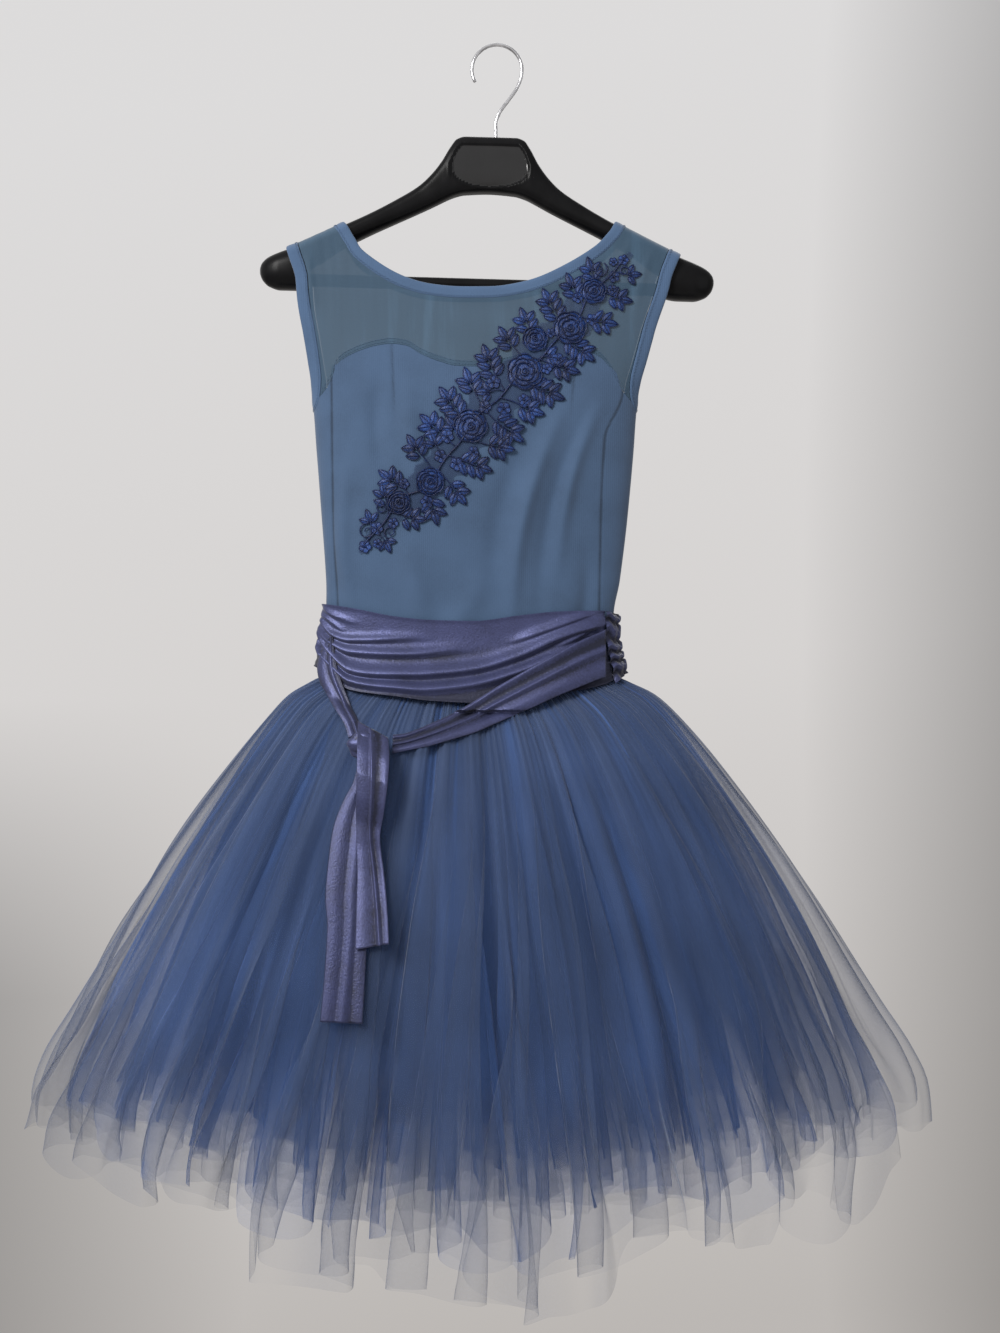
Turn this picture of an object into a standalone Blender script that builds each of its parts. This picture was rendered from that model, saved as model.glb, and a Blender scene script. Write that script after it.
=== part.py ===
"""Sleeveless dance dress on a clothes hanger: sheer yoke, jersey bodice, corded floral applique,
draped satin sash tied at one side, and a skirt of three gathered tulle layers.

The model is in metres with +Z up. The front faces -Y and the viewer's right is +X.
The origin is the inside top of the hanger's hook, where it rests on whatever holds it.
Sizes below are real millimetres, and MM turns them into metres when a mesh is made.
"""
import math

import bmesh
import bpy
import numpy as np

MM = 0.001
SEAM_GAP = 0.3
YOKE_WALL = 1.0
JERSEY_WALL = 1.2
BINDING_WALL = 1.6
BINDING_WIDTH = 10.5
SATIN_WALL = 1.2
TULLE_WALL = 1.0

HOOK_LOOP_RADIUS = 24.0
HOOK_WIRE_RADIUS = 1.75
HUB_X = -6.7
HUB_Z = -115.0
HANGER_TILT = math.radians(1.6)
HUB_TOP = -88.5
BAR_RADIUS = 6.0
BAR_HALF_LENGTH = 169.4
BAR_Z = -229.0
RECESS_DEPTH = 1.6

SHOULDER_DROP = 12.0
SHOULDER_ARC = 22.0
UNDERARM_GAP = 1.8
ARMHOLE_GAP = 2.4
SWEETHEART_GAP = 1.2
SASH_END_GAP = math.radians(1.6)
SASH_CLEARANCE = 4.2
FLUTE_CLEARANCE = 1.15
SHOULDER_BELOW_HUB = 75.0
RIDGE_ABOVE_ARM = 2.2
END_CROWDING = 0.75
BACK_YOKE_SEAM = -338.0
BACK_SIDE_SEAM = math.radians(118)
NECK_CENTRE = np.array([-16.0, 0.0, -185.0])
BODY_RADIUS = 150.0
ANGLE_STEP = 0.01
LENGTH_STEP = 0.5

FLUTES = 23
BACK_CORNER = math.radians(100)
BACK_CORNER_SPREAD = math.radians(20)
COLUMNS_PER_FLUTE = 4


def smooth_table(rows):
    """Return a function that reads a smooth curve through the rows, placed by their first column."""
    data = np.array(sorted(rows), dtype=float)
    place, values = data[:, 0], data[:, 1:]
    slope = np.diff(values, axis=0) / np.diff(place)[:, None]
    tangent = np.zeros_like(values)
    tangent[0], tangent[-1] = slope[0], slope[-1]
    before, after = slope[:-1], slope[1:]
    total = np.where(before + after == 0, 1, before + after)
    tangent[1:-1] = np.where(before * after > 0, 2 * before * after / total, 0)

    def at(where):
        where = min(max(where, place[0]), place[-1])
        i = min(int(np.searchsorted(place, where, side="right")) - 1, len(place) - 2)
        width = place[i + 1] - place[i]
        t = (where - place[i]) / width
        rise = values[i] * (1 + 2 * t) * (1 - t) ** 2 + values[i + 1] * t * t * (3 - 2 * t)
        return rise + width * (tangent[i] * t * (1 - t) ** 2 - tangent[i + 1] * t * t * (1 - t))

    return at


def smooth_path(points, count, crowding=0.0):
    """Return count points along a smooth curve through the given points.

    They are evenly spread, or closer together at both ends as crowding nears 1.
    """
    fixed = np.array(points, dtype=float)
    padded = np.vstack([2 * fixed[0] - fixed[1], fixed, 2 * fixed[-1] - fixed[-2]])
    fine = []
    for p0, p1, p2, p3 in zip(padded, padded[1:], padded[2:], padded[3:]):
        for t in np.linspace(0, 1, 12, endpoint=False):
            fine.append(0.5 * (2 * p1 + (p2 - p0) * t + (2 * p0 - 5 * p1 + 4 * p2 - p3) * t ** 2
                               + (3 * p1 - p0 - 3 * p2 + p3) * t ** 3))
    fine = np.array(fine + [fixed[-1]])
    length = np.concatenate([[0], np.cumsum(np.linalg.norm(np.diff(fine, axis=0), axis=1))])
    share = np.linspace(0, 1, count)
    share = (1 - crowding) * share + crowding * (0.5 - 0.5 * np.cos(math.pi * share))
    return np.column_stack([np.interp(share * length[-1], length, fine[:, k]) for k in range(fixed.shape[1])])


# Columns: z, centre x, half width, front depth, back depth, squareness of the sides.
BODY = smooth_table([
    (-160, -12, 340, 24, 23, 0.8),
    (-190, -12, 318, 24, 23, 0.8),
    (-230, -14, 250, 25, 23, 0.8),
    (-280, -17, 190, 27, 22, 0.8),
    (-315, -19.5, 166, 30, 22, 0.8),
    (-341, -21, 156, 32, 22, 0.8),
    (-390, -21, 152, 33, 23, 0.8),
    (-455, -21.5, 146.5, 30, 23, 0.85),
    (-512, -23, 141, 26, 22.5, 0.9),
    (-545, -26, 138, 24, 22, 0.9),
    (-630, -27, 137, 23, 22, 0.9),
])

# Columns: distance from the hub, top z, bottom z, half depth, squareness of the section.
HANGER_ARM = [
    (0, -88.5, -141, 12, 4),
    (24, -88.5, -142.5, 12, 4),
    (32, -91, -144.5, 12, 4),
    (38, -98.5, -147, 12, 3.6),
    (46.5, -113, -151.5, 11.5, 3.2),
    (56, -125.5, -156.5, 11, 3),
    (68, -137, -162.5, 10.5, 2.8),
    (90, -151, -173, 11, 2.6),
    (115, -165, -185, 12.5, 2.5),
    (141, -177.8, -199, 14, 2.5),
    (158, -186, -211, 15, 2.5),
    (169.7, -191.5, -219, 16, 2.5),
    (170.7, -192, -237, 16, 2.5),
    (184, -198, -239, 16.5, 2.5),
    (198, -203.5, -239, 16, 2.5),
    (209, -208.5, -236, 13, 2.4),
    (215.5, -214, -230, 8, 2.2),
    (217.5, -218, -225, 3, 2),
]
ARM_TOP = smooth_table([(row[0], row[1]) for row in HANGER_ARM])

# Columns: x, z. The sweetheart seam between the yoke and the bodice, left to right.
SWEETHEART = smooth_table([
    (-178, -344),
    (-166, -336),
    (-157, -324),
    (-151, -309),
    (-135, -299),
    (-115, -292.5),
    (-100, -290.5),
    (-85, -292.5),
    (-72.5, -300),
    (-54.5, -307.5),
    (-36.5, -312),
    (-18, -312.5),
    (0, -311),
    (16, -307.5),
    (34, -300),
    (48, -292.5),
    (62, -290),
    (80, -294.5),
    (97, -303),
    (107.5, -315),
    (117, -331),
    (128, -343),
])

# Columns: z, x. The seams between the front panel and the side panels.
FRONT_SEAM_LEFT = smooth_table([(-300, -157), (-456, -155.5), (-532, -151.7), (-625, -150)])
FRONT_SEAM_RIGHT = smooth_table([
    (-300, 121), (-336, 119.5), (-380, 102), (-456, 98.5), (-532, 97.7), (-625, 97),
])

# Points: x, height along the cloth. Necklines from the left shoulder to the right one.
NECK_FRONT_POINTS = [
    (-144.5, -172),
    (-141, -179),
    (-134, -191),
    (-126, -202.5),
    (-100, -220.5),
    (-74.5, -231),
    (-47, -235.5),
    (-18, -236.3),
    (7, -235),
    (37, -228),
    (67, -214),
    (92.5, -198),
    (104, -186.5),
    (110, -178),
]
NECK_BACK_LIFT = 7.0
NECK_LEFT_X = -148.0
NECK_RIGHT_X = 115.0

# Points: x, height along the cloth. Front edges of the armholes, from below the shoulder to the underarm.
ARMHOLE_LEFT_POINTS = [(-196.5, -208), (-190, -235), (-185, -273), (-180, -305), (-177.5, -325)]
ARMHOLE_RIGHT_POINTS = [(170, -214), (160.5, -245), (151, -273), (142.5, -305), (137, -325)]
ARMHOLE_LEFT_TIP = -198.7
ARMHOLE_RIGHT_TIP = 173.8
UNDERARM = -341.0

# Columns: start x, start z, end x, end z, half width, height. Drape ridges on the front panel.
DRAPE_RIDGES = [
    (62, -352, 14, -545, 9, 2.2),
    (84, -350, 44, -560, 8, 1.6),
    (-70, -560, -95, -470, 12, 1.6),
]

# Columns: path length, half width, z. The skirt's outline at its sides.
SKIRT_SIDE = smooth_table([
    (0, 138, -603),
    (20, 156, -612),
    (45, 178, -624),
    (87, 207, -655),
    (147, 244, -702),
    (237, 296, -777),
    (355, 358, -877),
    (406, 385, -920),
    (459, 414, -964),
    (492, 427, -994),
    (531, 430, -1033),
    (575, 431, -1076),
])
# Columns: path length, depth, z. The skirt's profile at the centre front.
SKIRT_FRONT = smooth_table([
    (0, 23, -621),
    (20, 35, -637),
    (45, 50, -657),
    (87, 68, -695),
    (147, 87, -752),
    (237, 112, -838),
    (355, 141, -952),
    (459, 161, -1054),
    (531, 173, -1125),
    (575, 178, -1169),
])
# Columns: path length, depth, z. The skirt's profile at the centre back.
SKIRT_BACK = smooth_table([
    (0, 22, -621),
    (20, 31, -639),
    (45, 40, -662),
    (87, 50, -703),
    (147, 59, -762),
    (237, 68, -851),
    (355, 77, -969),
    (459, 84, -1072),
    (531, 88, -1144),
    (575, 90, -1188),
])
# Columns: path length, centre x, squareness, flute height.
SKIRT_SHAPE = smooth_table([
    (0, -27, 0.9, 0.8),
    (20, -26, 0.9, 1.4),
    (60, -24, 0.8, 3.5),
    (140, -22, 0.7, 7),
    (260, -21, 0.6, 11),
    (390, -22, 0.5, 14.5),
    (575, -23, 0.5, 19),
])
# Columns: node, path lengths of its rows down to the hem, inset at the waist, inset at the hem.
SKIRT_LAYERS = [
    ("skirt_top", (0, 20, 60, 150, 290, 420, 531), 0.0, 0.0),
    ("skirt_middle", (0, 20, 60, 150, 290, 478), 1.3, 21.0),
    ("skirt_under", (0, 20, 60, 432), 2.6, 34.0),
]

# Columns: z, centre x, half width, front depth, back depth, squareness. The sash over the waist.
SASH = smooth_table([
    (-530, -26, 141.3, 27.5, 24.1, 0.9),
    (-560, -26.5, 141.5, 27.3, 24.1, 0.9),
    (-580, -27, 144.5, 28.2, 25.2, 0.9),
    (-600, -27, 149.5, 31, 27, 0.9),
    (-640, -27, 154, 41, 33.5, 0.9),
])
# Columns: x, top z, bottom z.
SASH_FRONT_EDGES = smooth_table([
    (-180, -533, -592),
    (-160, -536, -602),
    (-138, -539.5, -617),
    (-94, -548, -623),
    (-63, -551, -627),
    (-21, -552, -629),
    (20, -547, -626.5),
    (59, -543, -620.5),
    (101, -542, -612),
    (118, -545, -604),
    (130, -546, -600),
])
# Columns: fold height on the sash at the left, middle and right (0 is the top edge, 1 the bottom), and rise.
SASH_FOLDS = [
    (0.20, 0.10, 0.14, 1.6),
    (0.34, 0.30, 0.26, 3.0),
    (0.44, 0.52, 0.40, 3.6),
    (0.50, 0.72, 0.56, 3.0),
    (0.62, 0.90, 0.76, 2.4),
]
SASH_RUCHES = 5
RUCHE_RISE = 4.0
SASH_START = -math.radians(94)
SASH_GATHER_START = math.radians(66)
SASH_GATHER_END = math.radians(108)

# Columns: x, top z, bottom z. The strap from the right side down to the knot.
STRAP_RIGHT = [
    (99, -562, -606),
    (78, -571, -614),
    (58, -582, -622),
    (38, -592.5, -631),
    (18, -603.5, -639.5),
    (-2, -615, -648),
    (-21, -627, -656),
    (-41, -638.5, -662),
    (-62, -648, -668),
    (-82, -656, -672),
    (-96, -658, -675),
]
# Columns: left x, left z, right x, right z. The strap from the left side down to the knot.
STRAP_LEFT = [
    (-161, -568, -156, -566),
    (-168, -582, -153.5, -582),
    (-171, -595, -151, -596),
    (-168, -609, -146, -610),
    (-160, -622, -141, -622),
    (-151, -635, -136, -633),
    (-142, -648, -131, -643),
]
# Columns: left x, left z, right x, right z, lift off the skirt.
TAIL_SHORT = [
    (-127.5, -645, -99, -660, 18),
    (-127, -655, -98, -667, 25.5),
    (-126.5, -668, -97, -676, 27),
    (-126, -684, -97, -688, 20),
    (-126, -704, -98, -704, 9),
    (-126.5, -726, -101, -726, 4.6),
    (-126, -749, -104.5, -749, 3.1),
    (-124.5, -779, -100.5, -779, 3.1),
    (-124.3, -810, -97, -808, 3.1),
    (-124.3, -844, -94.7, -839, 3.1),
]
TAIL_LONG = [
    (-127, -680, -111, -680, -0.5),
    (-131, -700, -112, -700, -0.5),
    (-140, -718, -113, -718, -0.5),
    (-148, -741, -114, -741, -0.5),
    (-151.5, -771, -114.6, -771, -0.5),
    (-153, -801, -114.6, -801, -0.5),
    (-150.5, -826, -114.6, -826, -0.5),
    (-151.5, -866, -115.5, -866, -0.5),
    (-154, -905, -117, -906, -0.5),
]
KNOT_CENTRE = (-121.5, -667.0)
KNOT_HALF = (16.0, 8.0, 13.0)
KNOT_LIFT = 4.9

APPLIQUE_START = np.array([-131.0, -489.0])
APPLIQUE_END = np.array([136.0, -196.0])
APPLIQUE_LIFT = 0.9
LEAF_HEIGHT = 1.5
LEAF_SHAPE = 0.56
ROSE_SIDES = 8
# Columns: share of the rose's radius, height.
ROSE_RINGS = [(1.0, 0.0), (1.0, 1.9), (0.8, 2.7), (0.5, 2.0), (0.34, 3.1)]
# Columns: distance along the applique, distance across it, rose radius.
ROSES = [
    (62, 4, 8.5),
    (96, -5, 10.0),
    (160, 2, 12.0),
    (232, -1, 12.5),
    (262, 13, 9.0),
    (292, -4, 12.0),
    (333, 3, 9.5),
]
# Columns: distance along, distance across, radius of each small five-petal blossom.
BLOSSOMS = [
    (10, 0, 6.0),
    (30, 3, 6.0),
    (80, -15, 6.0),
    (125, -12, 6.5),
    (138, 12, 6.5),
    (193, -10, 6.5),
    (205, 14, 6.5),
    (262, -16, 6.0),
    (312, -14, 5.5),
    (356, -2, 5.5),
    (374, 2, 5.0),
]
# Columns: root along, root across, tip along, tip across, leaf pairs, leaf length. Leafy twigs.
TWIGS = [
    (30, 3, 44, 17, 1, 13),
    (34, 0, 46, -16, 1, 13),
    (70, 6, 84, 26, 2, 14),
    (84, -8, 72, -26, 1, 14),
    (104, 0, 118, 32, 2, 16),
    (108, -10, 96, -36, 1, 16),
    (128, -8, 138, -38, 1, 16),
    (146, 6, 140, 36, 1, 17),
    (166, 8, 184, 36, 2, 17),
    (172, -6, 166, -36, 2, 17),
    (190, -4, 206, -36, 1, 17),
    (206, 10, 222, 38, 1, 17),
    (224, 6, 240, 38, 1, 16),
    (240, -8, 236, -38, 1, 17),
    (262, 14, 276, 34, 1, 16),
    (276, -8, 282, -34, 1, 16),
    (300, 4, 304, 28, 2, 16),
    (316, -6, 326, -28, 2, 14),
    (340, 6, 346, 25, 1, 14),
    (356, -4, 368, -18, 1, 12),
]
STEM_ALONG = [8, 62, 96, 160, 232, 292, 333, 378]
STEM_ACROSS = [0, 4, -5, 2, -1, -4, 3, 1]


def new_collection(name):
    collection = bpy.data.collections.new(name)
    bpy.context.scene.collection.children.link(collection)
    return collection


def principled(name, colour, roughness, metallic=0.0):
    material = bpy.data.materials.new(name)
    material.use_nodes = True
    shader = material.node_tree.nodes["Principled BSDF"]
    shader.inputs["Base Color"].default_value = (*colour, 1)
    shader.inputs["Roughness"].default_value = roughness
    shader.inputs["Metallic"].default_value = metallic
    return material


JERSEY_BLUE = (0.075, 0.13, 0.22)
MESH_BLUE = (0.09, 0.15, 0.20)
CORD_BLUE = (0.02, 0.035, 0.16)
SATIN_VIOLET = (0.09, 0.085, 0.19)
TULLE_BLUE = (0.045, 0.085, 0.22)
PLASTIC_BLACK = (0.012, 0.012, 0.013)
STEEL = (0.6, 0.6, 0.6)


def add_object(name, mesh, material, collection):
    thing = bpy.data.objects.new(name, mesh)
    thing.data.materials.append(material)
    collection.objects.link(thing)
    return thing


def mesh_from(name, vertices, faces, scale=MM):
    mesh = bpy.data.meshes.new(name)
    mesh.from_pydata([tuple(scale * c for c in v) for v in vertices], [], faces)
    mesh.update()
    return mesh


def rebuilt(mesh, triangles=False):
    """Turn the faces of a closed mesh outward, and cut them into triangles where asked."""
    work = bmesh.new()
    work.from_mesh(mesh)
    if triangles:
        bmesh.ops.triangulate(work, faces=work.faces)
    bmesh.ops.recalc_face_normals(work, faces=work.faces)
    work.to_mesh(mesh)
    work.free()
    return mesh


def grid_faces(columns, rows, wrap, flip):
    faces = []
    for i in range(columns if wrap else columns - 1):
        following = (i + 1) % columns
        for j in range(rows - 1):
            face = (i * rows + j, following * rows + j, following * rows + j + 1, i * rows + j + 1)
            faces.append(face[::-1] if flip else face)
    return faces


def cloth(name, grid, material, collection, wall, wrap=False, flip=False):
    """Make a cloth wall whose outer side is the grid, a list of columns of points."""
    columns, rows = len(grid), len(grid[0])
    vertices = [point for column in grid for point in column]
    mesh = mesh_from(name, vertices, grid_faces(columns, rows, wrap, flip))
    mesh.shade_smooth()
    thing = add_object(name, mesh, material, collection)
    solidify = thing.modifiers.new("Wall", "SOLIDIFY")
    solidify.thickness = wall * MM
    solidify.offset = -1
    solidify.use_quality_normals = True
    return thing


def ring_point(shape, angle):
    """Point of a flattened section: angle 0 is the centre front, 90 degrees the viewer's right."""
    centre, half_width, front, back, square = shape
    sine, cosine = math.sin(angle), math.cos(angle)
    depth = front if cosine > 0 else back
    return centre + half_width * sine, -depth * cosine * math.sqrt(1 + square * sine * sine)


def with_lift(surface, angle, length, lift):
    """Point of a surface, at an angle and a length on it, moved out along its normal."""
    point = surface(angle, length)
    if lift == 0:
        return point
    around = surface(angle + ANGLE_STEP, length) - surface(angle - ANGLE_STEP, length)
    upward = surface(angle, length + LENGTH_STEP) - surface(angle, length - LENGTH_STEP)
    normal = np.cross(around, upward)
    return point + normal * lift / np.linalg.norm(normal)


def angle_at(x, z, table=BODY):
    """Angle on the front of a section table at this x and z."""
    centre, half_width = table(z)[:2]
    return math.asin(min(max((x - centre) / half_width, -1), 1))


def shoulder_ridge(x):
    """Height of the cloth over the hanger's arm."""
    local = x - HUB_X + SHOULDER_BELOW_HUB * math.sin(HANGER_TILT)
    return ARM_TOP(abs(local))[0] - local * math.tan(HANGER_TILT) + RIDGE_ABOVE_ARM


def garment_surface(angle, height):
    """The dress above the waist: it hangs straight, and bends over the hanger's arms at the shoulders."""
    x, y = ring_point(BODY(height), angle)
    bend = shoulder_ridge(x) - SHOULDER_DROP
    if height <= bend or abs(x - HUB_X) < 90:
        return np.array([x, y, height])
    turn = (height - bend) / SHOULDER_ARC * math.pi / 2
    return np.array([x, y * math.cos(turn), bend + SHOULDER_DROP * math.sin(turn)])


def drape_relief(x, z):
    """Soft ridges where the jersey falls in folds."""
    relief = 0.0
    for start_x, start_z, end_x, end_z, half_width, height in DRAPE_RIDGES:
        start = np.array([start_x, start_z])
        run = np.array([end_x, end_z]) - start
        length = np.linalg.norm(run)
        offset = np.array([x, z]) - start
        along = float(offset @ run) / length
        across = (offset[0] * run[1] - offset[1] * run[0]) / length
        fade = math.sin(math.pi * min(max(along / length, 0), 1))
        relief += height * fade * math.exp(-(across / half_width) ** 2)
    return relief


def garment_point(angle, height, lift=0.0):
    if math.cos(angle) > 0 and SWEETHEART(-18)[0] - 25 > height:
        x = ring_point(BODY(height), angle)[0]
        lift += drape_relief(x, height)
    return with_lift(garment_surface, angle, height, lift)


def offset_on_cloth(loop, distance, away_from):
    """Move a curve of (angle, height) points sideways on the cloth, away from a point in space."""
    points = [garment_surface(a, h) for a, h in loop]
    moved = []
    for i, (angle, height) in enumerate(loop):
        ahead = points[min(i + 1, len(loop) - 1)]
        behind = points[max(i - 1, 0)]
        along_angle = garment_surface(angle + ANGLE_STEP, height) - garment_surface(angle - ANGLE_STEP, height)
        along_angle = along_angle / (2 * ANGLE_STEP)
        along_height = garment_surface(angle, height + LENGTH_STEP) - garment_surface(angle, height - LENGTH_STEP)
        side = np.cross(np.cross(along_angle, along_height), ahead - behind)
        side = side / np.linalg.norm(side)
        if side @ (points[i] - away_from) < 0:
            side = -side
        partials = np.column_stack([along_angle, along_height])
        step = np.linalg.lstsq(partials, side * distance, rcond=None)[0]
        moved.append((angle + step[0], height + step[1]))
    return moved


def ridge_height(x):
    """Height along the cloth at which it crosses the top of the hanger's arm."""
    return shoulder_ridge(x) - SHOULDER_DROP + SHOULDER_ARC


def to_angles(points, back=False):
    pairs = [(angle_at(x, h), h) for x, h in points]
    return [(math.pi - a, h) for a, h in pairs] if back else pairs


def neck_line(back):
    """Neckline from the left shoulder ridge to the right one, as (x, height) points."""
    lift = NECK_BACK_LIFT if back else 0.0
    inner = [(x, h + lift * math.sin(math.pi * (x - NECK_LEFT_X) / (NECK_RIGHT_X - NECK_LEFT_X)))
             for x, h in NECK_FRONT_POINTS]
    ends = [(NECK_LEFT_X, ridge_height(NECK_LEFT_X))], [(NECK_RIGHT_X, ridge_height(NECK_RIGHT_X))]
    return smooth_path(ends[0] + inner + ends[1], 21, END_CROWDING)


def armhole_loop(points, tip, side):
    """Armhole edge from the shoulder ridge down the front, under the arm and up the back."""
    front = to_angles([(tip, ridge_height(tip))] + points)
    back = to_angles([(tip, ridge_height(tip))] + points, back=True)
    if side < 0:
        back = [(a - 2 * math.pi, h) for a, h in back]
    loop = front + [(side * math.pi / 2, UNDERARM)] + back[::-1]
    scaled = [(a * BODY_RADIUS, h) for a, h in loop]
    return [(a / BODY_RADIUS, h) for a, h in smooth_path(scaled, 27, END_CROWDING)]


def neck_loops():
    """Edge and seam of the neck binding, front and back, as lists of (angle, height)."""
    loops = {}
    for back in (False, True):
        edge = to_angles(neck_line(back), back)
        seam = offset_on_cloth(edge, BINDING_WIDTH, NECK_CENTRE)
        loops[back] = (edge, seam)
    return loops


def armhole_loops(side):
    points = ARMHOLE_LEFT_POINTS if side < 0 else ARMHOLE_RIGHT_POINTS
    tip = ARMHOLE_LEFT_TIP if side < 0 else ARMHOLE_RIGHT_TIP
    edge = armhole_loop(points, tip, side)
    hole = np.array([garment_surface(*edge[5])[0] + side * 60, 0, -275])
    return edge, offset_on_cloth(edge, BINDING_WIDTH, hole)


def binding(name, edge, seam, material, collection, flip, closed):
    """Folded strip between an edge and the seam beside it."""
    grid = []
    for (edge_a, edge_h), (seam_a, seam_h) in zip(edge, seam):
        column = []
        for share in (0.0, 0.5, 1.0):
            angle = edge_a + (seam_a - edge_a) * share
            height = edge_h + (seam_h - edge_h) * share
            column.append(with_lift(garment_surface, angle, height, 0.3))
        grid.append(column)
    return cloth(name, grid, material, collection, BINDING_WALL, wrap=closed, flip=flip)


def make_bindings(material, collection):
    necks = neck_loops()
    front_edge, front_seam = necks[False]
    back_edge, back_seam = necks[True]
    edge = list(front_edge) + list(back_edge[-2:0:-1])
    seam = list(front_seam) + list(back_seam[-2:0:-1])
    binding("neck_binding", edge, seam, material, collection, flip=True, closed=True)
    for side, label in ((-1, "left"), (1, "right")):
        edge, seam = armhole_loops(side)
        binding("armhole_binding_" + label, edge[:-1], seam[:-1], material, collection,
                flip=side > 0, closed=True)


def shoulder_seam_height(x):
    """Just short of the ridge, so that the front and back yokes stay apart."""
    return ridge_height(x) - 0.5


def armhole_seam_x(side, back):
    """The x of the binding's inner edge on the yoke, read by height."""
    seam = armhole_loops(side)[1]
    half = len(seam) // 2
    branch = seam[half:] if back else seam[:half + 1]
    rows = []
    for angle, height in branch:
        shape = BODY(height)
        rows.append((height, ring_point(shape, angle)[0] - side * ARMHOLE_GAP))
    rows.sort()
    heights = [row[0] for row in rows]
    places = [row[1] for row in rows]
    return lambda height: float(np.interp(height, heights, places))


def yoke_top(back, left_x, right_x):
    """Top edge of a yoke: shoulder, neck seam, shoulder, as (x, height) points."""
    seam = neck_loops()[back][1]
    if back:
        seam = [(math.pi - a, h) for a, h in seam]
    neck = [(ring_point(BODY(h), a)[0], h - SEAM_GAP) for a, h in seam]
    left_end = left_x(ridge_height(left_x(-180)))
    right_end = right_x(ridge_height(right_x(-180)))
    neck_left = neck[0][0] - SEAM_GAP
    neck_right = neck[-1][0] + SEAM_GAP
    left = [(x, shoulder_seam_height(x)) for x in np.linspace(left_end, neck_left, 4)]
    right = [(x, shoulder_seam_height(x)) for x in np.linspace(neck_right, right_end, 4)]
    inner = [(x, min(h, shoulder_seam_height(x))) for x, h in neck[1:-1]]
    return left + inner + right


def make_yoke(name, back, material, collection):
    left_x, right_x = armhole_seam_x(-1, back), armhole_seam_x(1, back)
    rows = (0.0, 0.07, 0.18, 0.36, 0.58, 0.78, 0.9, 0.95, 1.0)
    grid = []
    for top_x, top_height in yoke_top(back, left_x, right_x):
        left, right = left_x(top_height), right_x(top_height)
        share = min(max((top_x - left) / (right - left), 0), 1)
        column = []
        for row in rows:
            height = top_height + (1 - row) * (-330 - top_height)
            for _ in range(6):
                x = left_x(height) + (right_x(height) - left_x(height)) * share
                bottom = BACK_YOKE_SEAM + SEAM_GAP / 2 if back else SWEETHEART(x)[0] + SWEETHEART_GAP
                height = bottom + (top_height - bottom) * row
            angle = angle_at(x, height)
            angle = math.pi - angle if back else angle
            column.append(garment_point(angle, height))
        grid.append(column)
    return cloth(name, grid, material, collection, YOKE_WALL, flip=back)


def waist_seam(angle):
    """Height of the seam where the skirt is sewn to the bodice."""
    return SKIRT_FRONT(0)[1] + (SKIRT_SIDE(0)[1] - SKIRT_FRONT(0)[1]) * math.sin(angle) ** 2


def panel(name, left, right, top, columns, rows, material, collection):
    """Bodice panel between two angles and from the waist seam to a top height."""
    grid = []
    for i in range(columns):
        column = []
        for j in range(rows):
            height = -600 + (-330 + 600) * j / (rows - 1)
            for _ in range(6):
                angle = left(height) + (right(height) - left(height)) * i / (columns - 1)
                x = ring_point(BODY(height), angle)[0]
                bottom = waist_seam(angle) + SEAM_GAP
                height = bottom + (top(x, angle) - bottom) * j / (rows - 1)
            column.append(garment_point(angle, height))
        grid.append(column)
    return cloth(name, grid, material, collection, JERSEY_WALL)


def seam_angle(table, shift):
    """Angle of a seam given by its x, moved sideways by shift millimetres on the cloth."""
    def at(height):
        angle = angle_at(table(height)[0], height)
        run = garment_surface(angle + ANGLE_STEP, height) - garment_surface(angle - ANGLE_STEP, height)
        return angle + shift * 2 * ANGLE_STEP / np.linalg.norm(run)
    return at


def side_top(side):
    """Top of a side panel: the armhole binding's seam, read by angle, and the yoke seams beside it."""
    seam = armhole_loops(side)[1]
    low = sorted((a, h) for a, h in seam if h < -300)
    angles = [a for a, h in low]
    heights = [h for a, h in low]

    def at(x, angle):
        binding_seam = float(np.interp(angle, angles, heights)) - UNDERARM_GAP
        yoke_seam = SWEETHEART(x)[0] - SEAM_GAP / 2 if math.cos(angle) > 0 else BACK_YOKE_SEAM - SEAM_GAP / 2
        return min(binding_seam, yoke_seam)
    return at


def make_bodice(materials, collection):
    half = SEAM_GAP / 2
    front_left = seam_angle(FRONT_SEAM_LEFT, half)
    front_right = seam_angle(FRONT_SEAM_RIGHT, -half)
    back_step = half / 60
    panel("front_panel", front_left, front_right, lambda x, a: SWEETHEART(x)[0] - half,
          25, 10, materials["front_panel"], collection)
    panel("side_left", lambda h: -BACK_SIDE_SEAM + back_step, seam_angle(FRONT_SEAM_LEFT, -half),
          side_top(-1), 9, 10, materials["side_left"], collection)
    panel("side_right", seam_angle(FRONT_SEAM_RIGHT, half), lambda h: BACK_SIDE_SEAM - back_step,
          side_top(1), 9, 10, materials["side_right"], collection)
    panel("back_panel", lambda h: BACK_SIDE_SEAM + back_step,
          lambda h: 2 * math.pi - BACK_SIDE_SEAM - back_step,
          lambda x, a: BACK_YOKE_SEAM - half, 8, 10, materials["back_panel"], collection)


def skirt_surface(angle, path):
    """Smooth form of the skirt, without its flutes: path is the length down the cloth from the waist."""
    half_width, side_z = SKIRT_SIDE(path)
    front, front_z = SKIRT_FRONT(path)
    back, back_z = SKIRT_BACK(path)
    centre, square = SKIRT_SHAPE(path)[:2]
    x, y = ring_point((centre, half_width, front, back, square), angle)
    middle_z = front_z if math.cos(angle) > 0 else back_z
    z = middle_z + (side_z - middle_z) * math.sin(angle) ** 2
    return np.array([x, y, z])


def skirt_point(angle, path, lift=0.0):
    return with_lift(skirt_surface, angle, path, -lift)


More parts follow.
